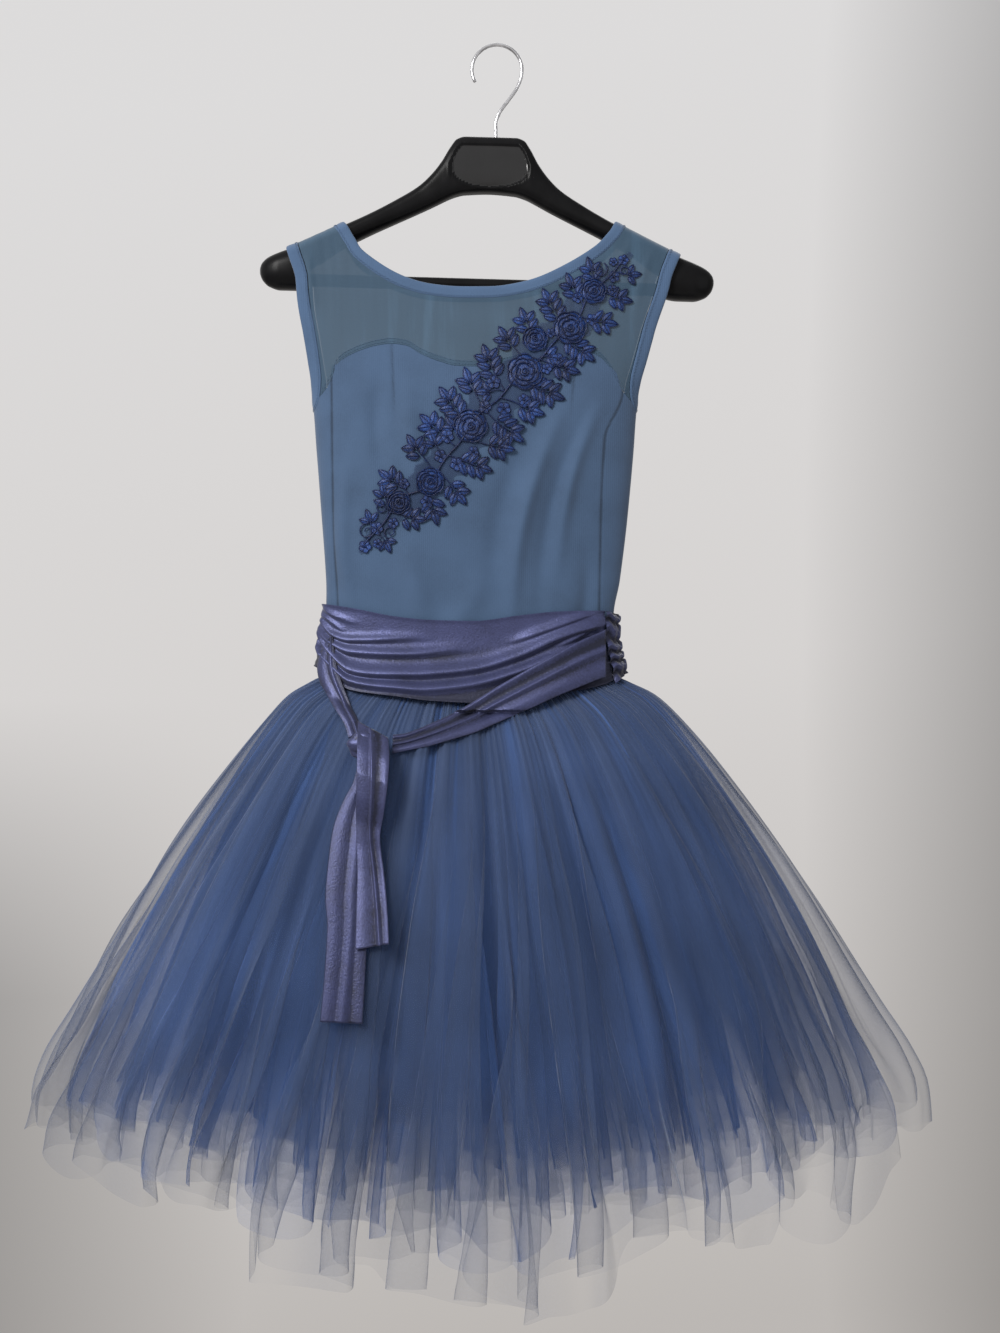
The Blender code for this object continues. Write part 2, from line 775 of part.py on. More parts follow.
def flute_height(angle, path):
    """Largest height of a flute at this place: some stand out more than others."""
    uneven = 0.78 + 0.16 * math.sin(3 * angle + 0.8) + 0.06 * math.sin(7 * angle + 2.1)
    turn = (abs(math.remainder(angle, 2 * math.pi)) - BACK_CORNER) / BACK_CORNER_SPREAD
    return SKIRT_SHAPE(path)[2] * uneven * (1 - 0.6 * math.exp(-turn * turn))


def skirt_angles():
    """Angles of the skirt's columns: as far apart along the cloth as its flutes, which vary in width."""
    fine = np.linspace(-math.pi, math.pi, 1441)
    points = np.array([skirt_surface(a, 300) for a in fine])
    length = np.concatenate([[0], np.cumsum(np.linalg.norm(np.diff(points, axis=0), axis=1))])
    share = length / length[-1]
    warped = share + 0.006 * np.sin(2 * math.pi * 3 * share + 1) + 0.004 * np.sin(2 * math.pi * 7 * share)
    count = FLUTES * COLUMNS_PER_FLUTE
    start = warped[0]
    return [float(np.interp(start + k / count, warped, fine)) for k in range(count)]


def hem_drop(angle):
    """How far the hem hangs below or above its even line."""
    return 8 * math.sin(4 * angle + 0.6) + 7 * math.sin(9 * angle + 2) + 5 * math.sin(17 * angle)


def make_skirt(materials, collection):
    angles = skirt_angles()
    for name, paths, inset_waist, inset_hem in SKIRT_LAYERS:
        hem = paths[-1]
        grid = []
        for k, angle in enumerate(angles):
            wave = math.cos(2 * math.pi * k / COLUMNS_PER_FLUTE)
            column = []
            for path in paths:
                inset = inset_waist + (inset_hem - inset_waist) * (path / hem) ** 0.9
                drop = hem_drop(angle) if path == hem else 0
                lift = wave * flute_height(angle, path) - inset
                column.append(skirt_point(angle, path + drop, lift))
            grid.append(column)
        cloth(name, grid, materials[name], collection, TULLE_WALL, wrap=True, flip=True)


def sash_surface(angle, height):
    x, y = ring_point(SASH(height), angle)
    return np.array([x, y, height])


def sash_back_edges(angle):
    """Top and bottom of the sash round the back, level with its ends at the front."""
    side = 0.5 - 0.5 * math.sin(angle)
    top = -545 + 10 * side
    bottom = -600 + 6 * side - 20 * math.cos(angle) ** 2
    return top, bottom


def sash_relief(share_across, share_down):
    """Long folds that fan out from both side gathers."""
    relief = 0.0
    for left, middle, right, rise in SASH_FOLDS:
        base = left + (right - left) * share_across
        bow = (middle - (left + right) / 2) * 4 * share_across * (1 - share_across)
        relief += rise * math.exp(-((share_down - base - bow) / 0.055) ** 2)
    return relief


def make_sash(materials, collection):
    start, end = SASH_START, SASH_GATHER_START - SASH_END_GAP
    columns, rows = 19, 11
    grid = []
    for i in range(columns):
        share = i / (columns - 1)
        angle = start + (end - start) * share
        column = []
        for j in range(rows):
            down = 1 - j / (rows - 1)
            top, bottom = -540.0, -610.0
            for _ in range(5):
                height = top + (bottom - top) * down
                top, bottom = SASH_FRONT_EDGES(ring_point(SASH(height), angle)[0])
            relief = sash_relief(share, down) * min(1, 6 * share, 6 * (1 - share))
            column.append(with_lift(sash_surface, angle, height, relief))
        grid.append(column)
    cloth("sash_front", grid, materials["sash_front"], collection, SATIN_WALL)

    grid = []
    for angle in np.linspace(SASH_GATHER_START, SASH_GATHER_END, 7):
        column = []
        front_top, front_bottom = SASH_FRONT_EDGES(ring_point(SASH(-575), angle)[0])
        back_top, back_bottom = sash_back_edges(angle)
        blend = (angle - SASH_GATHER_START) / (SASH_GATHER_END - SASH_GATHER_START)
        top = front_top + (back_top - front_top) * blend
        bottom = front_bottom + (back_bottom - front_bottom) * blend
        for j in range(3 * SASH_RUCHES + 1):
            down = 1 - j / (3 * SASH_RUCHES)
            relief = RUCHE_RISE * (0.5 - 0.5 * math.cos(2 * math.pi * SASH_RUCHES * down))
            height = top + (bottom - top) * down
            column.append(with_lift(sash_surface, angle, height, relief))
        grid.append(column)
    cloth("sash_gather", grid, materials["sash_gather"], collection, SATIN_WALL)

    grid = []
    for angle in np.linspace(SASH_GATHER_END + SASH_END_GAP, 2 * math.pi + start - SASH_END_GAP, 17):
        top, bottom = sash_back_edges(angle)
        grid.append([with_lift(sash_surface, angle, bottom + (top - bottom) * j / 4, 0)
                     for j in range(5)])
    cloth("sash_back", grid, materials["sash_back"], collection, SATIN_WALL)


def skirt_place(x, z):
    """Angle and path length of the skirt's smooth front form at this x and z."""
    path = 60.0
    for _ in range(30):
        half_width = SKIRT_SIDE(path)[0]
        centre = SKIRT_SHAPE(path)[0]
        angle = math.asin(min(max((x - centre) / half_width, -0.995), 0.995))
        path = min(max(path + 0.8 * (skirt_surface(angle, path)[2] - z), 0), 570)
    return angle, path


def over_sash_and_skirt(x, z, lift):
    """Point at this x and z, in front of both the sash and the skirt."""
    depths = []
    if z > -636:
        depths.append(ring_point(SASH(z), angle_at(x, z, SASH))[1] - SASH_CLEARANCE)
    if z < -606:
        angle, path = skirt_place(x, z)
        if path > 0:
            depths.append(skirt_surface(angle, path)[1] - FLUTE_CLEARANCE * flute_height(angle, path))
    return np.array([x, min(depths) - lift, z])


def make_straps(materials, collection):
    grid = []
    for x, top, bottom in STRAP_RIGHT:
        column = []
        for j in range(5):
            share = j / 4
            ridge = 1.2 if j in (1, 3) else 0.0
            column.append(over_sash_and_skirt(x, top + (bottom - top) * share, 1.8 + ridge))
        grid.append(column)
    cloth("sash_strap_right", grid[::-1], materials["sash_strap_right"], collection, SATIN_WALL, flip=True)

    grid = []
    for left_x, left_z, right_x, right_z in STRAP_LEFT:
        column = []
        for j in range(4):
            share = j / 3
            x = left_x + (right_x - left_x) * share
            z = left_z + (right_z - left_z) * share
            column.append(over_sash_and_skirt(x, z, 0.35 + (0.8 if j == 1 else 0.0)))
        grid.append(column)
    cloth("sash_strap_left", grid, materials["sash_strap_left"], collection, SATIN_WALL, flip=True)

    for name, rows in (("sash_tail_short", TAIL_SHORT), ("sash_tail_long", TAIL_LONG)):
        grid = []
        for left_x, left_z, right_x, right_z, lift in rows:
            column = []
            for j in range(5):
                share = j / 4
                x = left_x + (right_x - left_x) * share
                z = left_z + (right_z - left_z) * share
                ridge = 1.5 if j in (1, 3) else 0.0
                column.append(over_sash_and_skirt(x, z, lift + ridge))
            grid.append(column)
        cloth(name, grid, materials[name], collection, SATIN_WALL, flip=True)

    centre = over_sash_and_skirt(*KNOT_CENTRE, KNOT_LIFT + KNOT_HALF[1])
    bpy.ops.mesh.primitive_uv_sphere_add(segments=14, ring_count=8, radius=MM)
    knot = bpy.context.object
    knot.name = "sash_knot"
    for vertex in knot.data.vertices:
        vertex.co = [c * half for c, half in zip(vertex.co, KNOT_HALF)]
    knot.location = [c * MM for c in centre]
    knot.data.shade_smooth()
    knot.data.materials.append(materials["sash_knot"])
    move_to(knot, collection)


def move_to(thing, collection):
    for owner in list(thing.users_collection):
        owner.objects.unlink(thing)
    collection.objects.link(thing)


def add_relief(vertices, faces, rings):
    """Closed low form from its lowest ring of points up to its highest."""
    first, count = len(vertices), len(rings[0])
    for ring in rings:
        vertices += [tuple(point) for point in ring]
    top = first + (len(rings) - 1) * count
    faces.append(tuple(first + k for k in reversed(range(count))))
    faces.append(tuple(top + k for k in range(count)))
    for ring in range(len(rings) - 1):
        low, high = first + ring * count, first + (ring + 1) * count
        for k in range(count):
            after = (k + 1) % count
            faces.append((low + k, low + after, high + after, high + k))


def plate(vertices, faces, outline):
    add_relief(vertices, faces, [[(x, y, height) for x, y in outline] for height in (0, LEAF_HEIGHT)])


def leaf_solid(vertices, faces, root, tip, width):
    root, tip = np.array(root), np.array(tip)
    run = tip - root
    side = np.array([-run[1], run[0]]) / np.linalg.norm(run) * width / 2
    plate(vertices, faces, [root, root + run * 0.45 - side, tip, root + run * 0.45 + side])


def stem_solid(vertices, faces, start, end, width):
    start, end = np.array(start), np.array(end)
    run = end - start
    side = np.array([-run[1], run[0]]) / np.linalg.norm(run) * width / 2
    plate(vertices, faces, [start - side, end - side, end + side, start + side])


def blossom_solid(vertices, faces, centre, radius):
    plate(vertices, faces, [(centre[0] + radius * math.cos(2 * math.pi * k / 5),
                             centre[1] + radius * math.sin(2 * math.pi * k / 5)) for k in range(5)])


def rose_solid(vertices, faces, centre, radius):
    """Round flower: rings of petals that rise, dip and rise again, each turned against the one outside it."""
    rings = []
    for number, (share, height) in enumerate(ROSE_RINGS):
        turns = [2 * math.pi * (k + 0.25 * number) / ROSE_SIDES for k in range(ROSE_SIDES)]
        reach = radius * share
        rings.append([(centre[0] + reach * math.cos(t), centre[1] + reach * math.sin(t), height) for t in turns])
    add_relief(vertices, faces, rings)


def applique_shapes():
    """Yield each leaf, flower and cord of the applique, in its own flat (along, across) plane."""
    for along, across, radius in ROSES:
        yield rose_solid, ((along, across), radius)
    for along, across, radius in BLOSSOMS:
        yield blossom_solid, ((along, across), radius)
        foot = float(np.interp(along, STEM_ALONG, STEM_ACROSS))
        if abs(across - foot) > radius:
            yield stem_solid, ((along, across), (along - 5, foot), 1.8)
    stem = list(zip(STEM_ALONG, STEM_ACROSS))
    for start, end in zip(stem, stem[1:]):
        yield stem_solid, (start, end, 3.2)
    for root_along, root_across, tip_along, tip_across, pairs, length in TWIGS:
        root = np.array([root_along, root_across], dtype=float)
        run = np.array([tip_along, tip_across]) - root
        reach = np.linalg.norm(run)
        forward = run / reach
        side = np.array([-forward[1], forward[0]])
        stalk_end = root + forward * (reach - length * 0.7)
        foot = np.array([root_along, float(np.interp(root_along, STEM_ALONG, STEM_ACROSS))])
        yield stem_solid, (foot - forward * 2, stalk_end, 2.0)
        yield leaf_solid, (stalk_end - forward * 2, root + forward * (reach + 3), length * LEAF_SHAPE)
        for pair in range(pairs):
            start = root + (stalk_end - root) * (0.95 - 0.5 * pair)
            for turn in (-1, 1):
                lean = forward * 0.62 + side * turn * 0.78
                yield leaf_solid, (start - lean * 1.5, start + lean * (length - pair), length * LEAF_SHAPE)


def joined_flats(mesh):
    """Join the level faces that the union leaves in pieces, then cut them into triangles."""
    work = bmesh.new()
    work.from_mesh(mesh)
    bmesh.ops.dissolve_limit(work, angle_limit=0.01, verts=work.verts, edges=work.edges)
    bmesh.ops.triangulate(work, faces=work.faces)
    work.to_mesh(mesh)
    work.free()
    return mesh


def make_applique(material, collection, helpers):
    """Union of all the shapes in the flat, in millimetres, then laid on the front by its points."""
    vertices, faces = [], []
    for shape, values in applique_shapes():
        shape(vertices, faces, *values)
    mesh = rebuilt(mesh_from("applique_shapes", vertices, faces, scale=1), triangles=True)
    loose = add_object("applique_shapes", mesh, material, helpers)
    vertices, faces = [], []
    stem_solid(vertices, faces, (STEM_ALONG[0], 0.4), (STEM_ALONG[1], 4.2), 2.4)
    mesh = rebuilt(mesh_from("applique_flat", vertices, faces, scale=1), triangles=True)
    flat = add_object("applique_flat", mesh, material, helpers)
    union = flat.modifiers.new("Union", "BOOLEAN")
    union.operation = "UNION"
    union.solver = "EXACT"
    union.use_self = True
    union.object = loose
    evaluated = flat.evaluated_get(bpy.context.evaluated_depsgraph_get())
    mesh = joined_flats(bpy.data.meshes.new_from_object(evaluated))
    forward = (APPLIQUE_END - APPLIQUE_START) / np.linalg.norm(APPLIQUE_END - APPLIQUE_START)
    side = np.array([-forward[1], forward[0]])
    for vertex in mesh.vertices:
        along, across, height = vertex.co
        x, z = APPLIQUE_START + forward * along + side * across
        lift = APPLIQUE_LIFT + height
        vertex.co = [c * MM for c in garment_point(angle_at(x, z), z, lift)]
    mesh.name = "applique"
    add_object("applique", mesh, material, collection)
    for thing in (loose, flat):
        thing.hide_render = True
        thing.display_type = "WIRE"


def tilted(x, y, z):
    """Turn a point of the level hanger round its hub by the tilt that it hangs at."""
    run, rise = x - HUB_X, z - HUB_Z
    cosine, sine = math.cos(HANGER_TILT), math.sin(HANGER_TILT)
    return HUB_X + run * cosine + rise * sine, y, HUB_Z - run * sine + rise * cosine


def make_hanger_body(material, collection, helpers):
    """Hub and both arms, lofted through rounded upright sections."""
    stations = [(-row[0], *row[1:]) for row in HANGER_ARM[:0:-1]] + HANGER_ARM
    count = 12
    vertices, faces = [], []
    for local, top, bottom, half_depth, square in stations:
        middle, half_height = (top + bottom) / 2, (top - bottom) / 2
        for k in range(count):
            angle = 2 * math.pi * (k + 0.5) / count
            cosine, sine = math.cos(angle), math.sin(angle)
            y = half_depth * math.copysign(abs(cosine) ** (2 / square), cosine)
            z = middle + half_height * math.copysign(abs(sine) ** (2 / square), sine)
            vertices.append(tilted(HUB_X + local, y, z))
    for i in range(len(stations) - 1):
        for k in range(count):
            after = (k + 1) % count
            a, b = i * count, (i + 1) * count
            faces.append((a + k, b + k, b + after, a + after))
    faces.append(tuple(range(count)))
    faces.append(tuple((len(stations) - 1) * count + k for k in reversed(range(count))))
    mesh = rebuilt(mesh_from("hanger_body", vertices, faces))
    mesh.shade_smooth()
    body = add_object("hanger_body", mesh, material, collection)

    outline = [
        (-27, -97), (27, -97), (33, -104), (38.5, -118), (38, -125), (31, -132), (18, -136.5),
        (0, -138), (-18, -136.5), (-31, -132), (-38, -125), (-38.5, -118), (-33, -104),
    ]
    front, rear = -20.0, -12.0 + RECESS_DEPTH
    count = len(outline)
    vertices = [tilted(HUB_X + x, y, z) for y in (front, rear) for x, z in outline]
    faces = [tuple(range(count)), tuple(count + k for k in reversed(range(count)))]
    faces += [(k, count + k, count + (k + 1) % count, (k + 1) % count) for k in range(count)]
    cutter_mesh = rebuilt(mesh_from("recess_cutter", vertices, faces))
    cutter = add_object("recess_cutter", cutter_mesh, material, helpers)
    cutter.hide_render = True
    cutter.display_type = "WIRE"
    cut = body.modifiers.new("Hub recess", "BOOLEAN")
    cut.operation = "DIFFERENCE"
    cut.solver = "EXACT"
    cut.object = cutter


def make_wire(name, points, radius, material, collection):
    """Round bar or wire along the given points."""
    curve = bpy.data.curves.new(name, "CURVE")
    curve.dimensions = "3D"
    curve.bevel_depth = radius * MM
    curve.bevel_resolution = 2
    curve.use_fill_caps = True
    spline = curve.splines.new("POLY")
    spline.points.add(len(points) - 1)
    for target, point in zip(spline.points, points):
        target.co = (*(c * MM for c in point), 1)
    thing = bpy.data.objects.new(name, curve)
    curve.materials.append(material)
    collection.objects.link(thing)


def make_hook(material, collection):
    """Hook wire: up from the hub, out to the right, round the loop and down to its free end at the left."""
    loop_z = HOOK_WIRE_RADIUS - HOOK_LOOP_RADIUS
    foot = HUB_TOP + SEAM_GAP
    route = [(-1, foot), (-1, foot + 8), (-1, -72.5), (3, -62.5), (11, -51.5), (18.5, -41), (22.8, -31)]
    for turn in range(0, 211, 15):
        angle = math.radians(turn)
        route.append((HOOK_LOOP_RADIUS * math.cos(angle), loop_z + HOOK_LOOP_RADIUS * math.sin(angle)))
    points = [(x, 0, z) for x, z in smooth_path(route, 19)]
    make_wire("hanger_hook", points, HOOK_WIRE_RADIUS, material, collection)


def make_bar(material, collection):
    ends = [tilted(HUB_X + local, 0, BAR_Z) for local in (-BAR_HALF_LENGTH, 0, BAR_HALF_LENGTH)]
    make_wire("hanger_bar", ends, BAR_RADIUS, material, collection)


def main():
    for thing in list(bpy.data.objects):
        bpy.data.objects.remove(thing)
    dress = new_collection("Dance dress on a hanger")
    helpers = new_collection("Helpers")
    jersey_pieces = ("front_panel", "side_left", "side_right", "back_panel")
    satin_pieces = ("sash_front", "sash_gather", "sash_back", "sash_strap_right", "sash_strap_left",
                    "sash_knot", "sash_tail_short", "sash_tail_long")
    materials = {name: principled(name, JERSEY_BLUE, 0.8) for name in jersey_pieces}
    materials |= {name: principled(name, SATIN_VIOLET, 0.35) for name in satin_pieces}
    materials |= {row[0]: principled(row[0], TULLE_BLUE, 0.7) for row in SKIRT_LAYERS}
    make_yoke("yoke_front", False, principled("yoke_front", MESH_BLUE, 0.7), dress)
    make_yoke("yoke_back", True, principled("yoke_back", MESH_BLUE, 0.7), dress)
    make_bodice(materials, dress)
    make_bindings(principled("binding", JERSEY_BLUE, 0.7), dress)
    make_applique(principled("applique", CORD_BLUE, 0.45), dress, helpers)
    make_sash(materials, dress)
    make_straps(materials, dress)
    make_skirt(materials, dress)
    make_hanger_body(principled("hanger_body", PLASTIC_BLACK, 0.3), dress, helpers)
    make_bar(principled("hanger_bar", PLASTIC_BLACK, 0.3), dress)
    make_hook(principled("hanger_hook", STEEL, 0.2, 1.0), dress)


main()
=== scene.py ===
"""Dance dress on a hanger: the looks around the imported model.

Sizes are real millimetres, turned into metres when a mesh is made.
The front faces -Y, and +X is the viewer's right.
"""
import math

import bpy
import numpy as np
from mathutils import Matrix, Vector


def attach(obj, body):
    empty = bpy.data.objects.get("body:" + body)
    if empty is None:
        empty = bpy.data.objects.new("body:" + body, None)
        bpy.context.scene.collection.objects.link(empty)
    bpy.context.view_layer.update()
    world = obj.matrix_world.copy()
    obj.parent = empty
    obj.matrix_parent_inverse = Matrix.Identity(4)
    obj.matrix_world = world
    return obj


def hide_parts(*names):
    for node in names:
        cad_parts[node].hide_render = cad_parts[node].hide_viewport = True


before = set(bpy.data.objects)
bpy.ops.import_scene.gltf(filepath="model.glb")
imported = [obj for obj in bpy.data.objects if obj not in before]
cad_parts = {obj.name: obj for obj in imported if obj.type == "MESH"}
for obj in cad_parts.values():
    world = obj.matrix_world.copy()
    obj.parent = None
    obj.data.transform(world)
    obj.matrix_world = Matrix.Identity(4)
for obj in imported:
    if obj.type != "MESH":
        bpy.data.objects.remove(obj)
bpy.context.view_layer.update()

MM = 0.001
SEAM_GAP = 0.3
BINDING_WIDTH = 10.5
HUB_X = -6.7
HUB_Z = -115.0
HUB_TOP = -88.5
HANGER_TILT = math.radians(1.6)
SHOULDER_DROP = 12.0
SHOULDER_ARC = 22.0
SHOULDER_BELOW_HUB = 75.0
RIDGE_ABOVE_ARM = 2.2
END_CROWDING = 0.75
BACK_YOKE_SEAM = -338.0
BACK_SIDE_SEAM = math.radians(118)
BODY_RADIUS = 150.0
ANGLE_STEP = 0.004
OFFSET_STEP = 0.01
LENGTH_STEP = 0.5
BACK_CORNER = math.radians(100)
BACK_CORNER_SPREAD = math.radians(20)
BODICE_BOTTOM = -618.0
HOOK_LOOP_RADIUS = 24.0
HOOK_WIRE_RADIUS = 1.75
SEAM_WIDTH = 1.3
DART_WIDTH = 1.5
STITCH_PITCH = 1.5
STITCH_SHARE = 0.86
STITCH_SWING = 0.75


def run_length(points):
    """Length from the first point of a line to each of its points."""
    return np.concatenate([[0], np.cumsum(np.linalg.norm(np.diff(points, axis=0), axis=1))])


def smooth_table(rows):
    """Return a function that reads a smooth curve through the rows, placed by their first column."""
    data = np.array(sorted(rows), dtype=float)
    place, values = data[:, 0], data[:, 1:]
    slope = np.diff(values, axis=0) / np.diff(place)[:, None]
    tangent = np.zeros_like(values)
    tangent[0], tangent[-1] = slope[0], slope[-1]
    before, after = slope[:-1], slope[1:]
    total = np.where(before + after == 0, 1, before + after)
    tangent[1:-1] = np.where(before * after > 0, 2 * before * after / total, 0)

    def at(where):
        where = np.clip(np.asarray(where, dtype=float), place[0], place[-1])
        i = np.clip(np.searchsorted(place, where, side="right") - 1, 0, len(place) - 2)
        width = (place[i + 1] - place[i])[..., None]
        t = (where - place[i])[..., None] / width
        rise = values[i] * (1 + 2 * t) * (1 - t) ** 2 + values[i + 1] * t * t * (3 - 2 * t)
        return rise + width * (tangent[i] * t * (1 - t) ** 2 - tangent[i + 1] * t * t * (1 - t))

    return at


def smooth_path(points, count, crowding=0.0):
    """Return count points along a smooth curve, closer at its ends as crowding nears 1."""
    fixed = np.array(points, dtype=float)
    padded = np.vstack([2 * fixed[0] - fixed[1], fixed, 2 * fixed[-1] - fixed[-2]])
    fine = []
    for p0, p1, p2, p3 in zip(padded, padded[1:], padded[2:], padded[3:]):
        for t in np.linspace(0, 1, 12, endpoint=False):
            fine.append(0.5 * (2 * p1 + (p2 - p0) * t + (2 * p0 - 5 * p1 + 4 * p2 - p3) * t ** 2
                               + (3 * p1 - p0 - 3 * p2 + p3) * t ** 3))
    fine = np.array(fine + [fixed[-1]])
    length = run_length(fine)
    share = np.linspace(0, 1, count)
    share = (1 - crowding) * share + crowding * (0.5 - 0.5 * np.cos(math.pi * share))
    place = share * length[-1]
    return np.column_stack([np.interp(place, length, fine[:, k]) for k in range(fixed.shape[1])])


def smoothstep(low, high, value):
    t = np.clip((value - low) / (high - low), 0, 1)
    return t * t * (3 - 2 * t)


# Columns: z, centre x, half width, front depth, back depth, squareness of the sides.
BODY = smooth_table([
    (-160, -12, 340, 24, 23, 0.8),
    (-190, -12, 318, 24, 23, 0.8),
    (-230, -14, 250, 25, 23, 0.8),
    (-280, -17, 190, 27, 22, 0.8),
    (-315, -19.5, 166, 30, 22, 0.8),
    (-341, -21, 156, 32, 22, 0.8),
    (-390, -21, 152, 33, 23, 0.8),
    (-455, -21.5, 146.5, 30, 23, 0.85),
    (-512, -23, 141, 26, 22.5, 0.9),
    (-545, -26, 138, 24, 22, 0.9),
    (-630, -27, 137, 23, 22, 0.9),
])

# Columns: distance from the hub, top z, bottom z, half depth, squareness of the section.
HANGER_ARM = [
    (0, -88.5, -141, 12, 4),
    (24, -88.5, -142.5, 12, 4),
    (32, -91, -144.5, 12, 4),
    (38, -98.5, -147, 12, 3.6),
    (46.5, -113, -151.5, 11.5, 3.2),
    (56, -125.5, -156.5, 11, 3),
    (68, -137, -162.5, 10.5, 2.8),
    (90, -151, -173, 11, 2.6),
    (115, -165, -185, 12.5, 2.5),
    (141, -177.8, -199, 14, 2.5),
    (158, -186, -211, 15, 2.5),
    (169.7, -191.5, -219, 16, 2.5),
    (170.7, -192, -237, 16, 2.5),
    (184, -198, -239, 16.5, 2.5),
    (198, -203.5, -239, 16, 2.5),
    (209, -208.5, -236, 13, 2.4),
    (215.5, -214, -230, 8, 2.2),
    (217.5, -218, -225, 3, 2),
]
ARM_TOP = smooth_table([(row[0], row[1]) for row in HANGER_ARM])

# Columns: x, z. The sweetheart seam between the yoke and the bodice, left to right.
SWEETHEART = smooth_table([
    (-178, -344), (-166, -336), (-157, -324), (-151, -309), (-135, -299), (-115, -292.5), (-100, -290.5),
    (-85, -292.5), (-72.5, -300), (-54.5, -307.5), (-36.5, -312), (-18, -312.5), (0, -311), (16, -307.5),
    (34, -300), (48, -292.5), (62, -290), (80, -294.5), (97, -303), (107.5, -315), (117, -331), (128, -343),
])
# Columns: z, x. The seams between the front panel and the side panels.
FRONT_SEAM_LEFT = smooth_table([(-300, -157), (-456, -155.5), (-532, -151.7), (-625, -150)])
FRONT_SEAM_RIGHT = smooth_table([
    (-300, 121), (-336, 119.5), (-380, 102), (-456, 98.5), (-532, 97.7), (-625, 97)])

# Points: x, height along the cloth. Necklines from the left shoulder to the right one.
NECK_FRONT_POINTS = [
    (-144.5, -172), (-141, -179), (-134, -191), (-126, -202.5), (-100, -220.5), (-74.5, -231), (-47, -235.5),
    (-18, -236.3), (7, -235), (37, -228), (67, -214), (92.5, -198), (104, -186.5), (110, -178),
]
NECK_BACK_LIFT = 7.0
NECK_LEFT_X = -148.0
NECK_RIGHT_X = 115.0
NECK_CENTRE = np.array([-16.0, 0.0, -185.0])

# The x of each armhole's tip at the shoulder, and points of its front edge as x and height along the cloth.
ARMHOLES = {
    -1: (-198.7, [(-196.5, -208), (-190, -235), (-185, -273), (-180, -305), (-177.5, -325)]),
    1: (173.8, [(170, -214), (160.5, -245), (151, -273), (142.5, -305), (137, -325)]),
}
UNDERARM = -341.0


def surface_point(x, y, z):
    return np.stack(np.broadcast_arrays(x, y, z), axis=-1).astype(float)


def ring_point(shape, angle):
    """Point of a flattened section: angle 0 is the centre front, 90 degrees the viewer's right."""
    centre, half_width, front, back, square = np.moveaxis(shape, -1, 0)
    sine, cosine = np.sin(angle), np.cos(angle)
    depth = np.where(cosine > 0, front, back)
    return centre + half_width * sine, -depth * cosine * np.sqrt(1 + square * sine * sine)


def surface_normal(surface, angle, length):
    around = surface(angle + ANGLE_STEP, length) - surface(angle - ANGLE_STEP, length)
    upward = surface(angle, length + LENGTH_STEP) - surface(angle, length - LENGTH_STEP)
    normal = np.cross(around, upward)
    return normal / np.linalg.norm(normal, axis=-1, keepdims=True)


def with_lift(surface, angle, length, lift):
    """Point of a surface, at an angle and a length on it, moved out along its normal."""
    angle, length = np.broadcast_arrays(np.asarray(angle, float), np.asarray(length, float))
    out = surface_normal(surface, angle, length)
    return surface(angle, length) + out * np.asarray(lift, float)[..., None]


def angle_at(x, z, table=BODY):
    """Angle on the front of a section table at this x and z."""
    shape = table(z)
    return np.arcsin(np.clip((x - shape[..., 0]) / shape[..., 1], -1, 1))


def shoulder_ridge(x):
    """Height of the cloth over the hanger's arm."""
    local = x - HUB_X + SHOULDER_BELOW_HUB * math.sin(HANGER_TILT)
    return ARM_TOP(np.abs(local))[..., 0] - local * math.tan(HANGER_TILT) + RIDGE_ABOVE_ARM


def ridge_height(x):
    return shoulder_ridge(x) - SHOULDER_DROP + SHOULDER_ARC


def garment_surface(angle, height):
    """The dress above the waist: it hangs straight, and bends over the hanger's arms at the shoulders."""
    x, y = ring_point(BODY(height), angle)
    bend = shoulder_ridge(x) - SHOULDER_DROP
    turned = (height > bend) & (np.abs(x - HUB_X) >= 90)
    turn = np.where(turned, (height - bend) / SHOULDER_ARC * math.pi / 2, 0)
    z = np.where(turned, bend + SHOULDER_DROP * np.sin(turn), height)
    return surface_point(x, y * np.cos(turn), z)


def garment_point(angle, height, lift):
    return with_lift(garment_surface, angle, height, lift)


def offset_on_cloth(loop, distance, away_from):
    """Move a curve of (angle, height) points sideways on the cloth, away from a point in space."""
    points = garment_surface(loop[:, 0], loop[:, 1])
    moved = []
    for i, (angle, height) in enumerate(loop):
        ahead = points[min(i + 1, len(loop) - 1)]
        behind = points[max(i - 1, 0)]
        right, left = (garment_surface(angle + step, height) for step in (OFFSET_STEP, -OFFSET_STEP))
        above, below = (garment_surface(angle, height + step) for step in (LENGTH_STEP, -LENGTH_STEP))
        along_angle = (right - left) / (2 * OFFSET_STEP)
        along_height = above - below
        side = np.cross(np.cross(along_angle, along_height), ahead - behind)
        side = side / np.linalg.norm(side)
        if side @ (points[i] - away_from) < 0:
            side = -side
        partials = np.column_stack([along_angle, along_height])
        step = np.linalg.lstsq(partials, side * distance, rcond=None)[0]
        moved.append((angle + step[0], height + step[1]))
    return np.array(moved)


def to_angles(points, back=False):
    points = np.array(points, dtype=float)
    angles = angle_at(points[:, 0], points[:, 1])
    return np.column_stack([math.pi - angles if back else angles, points[:, 1]])


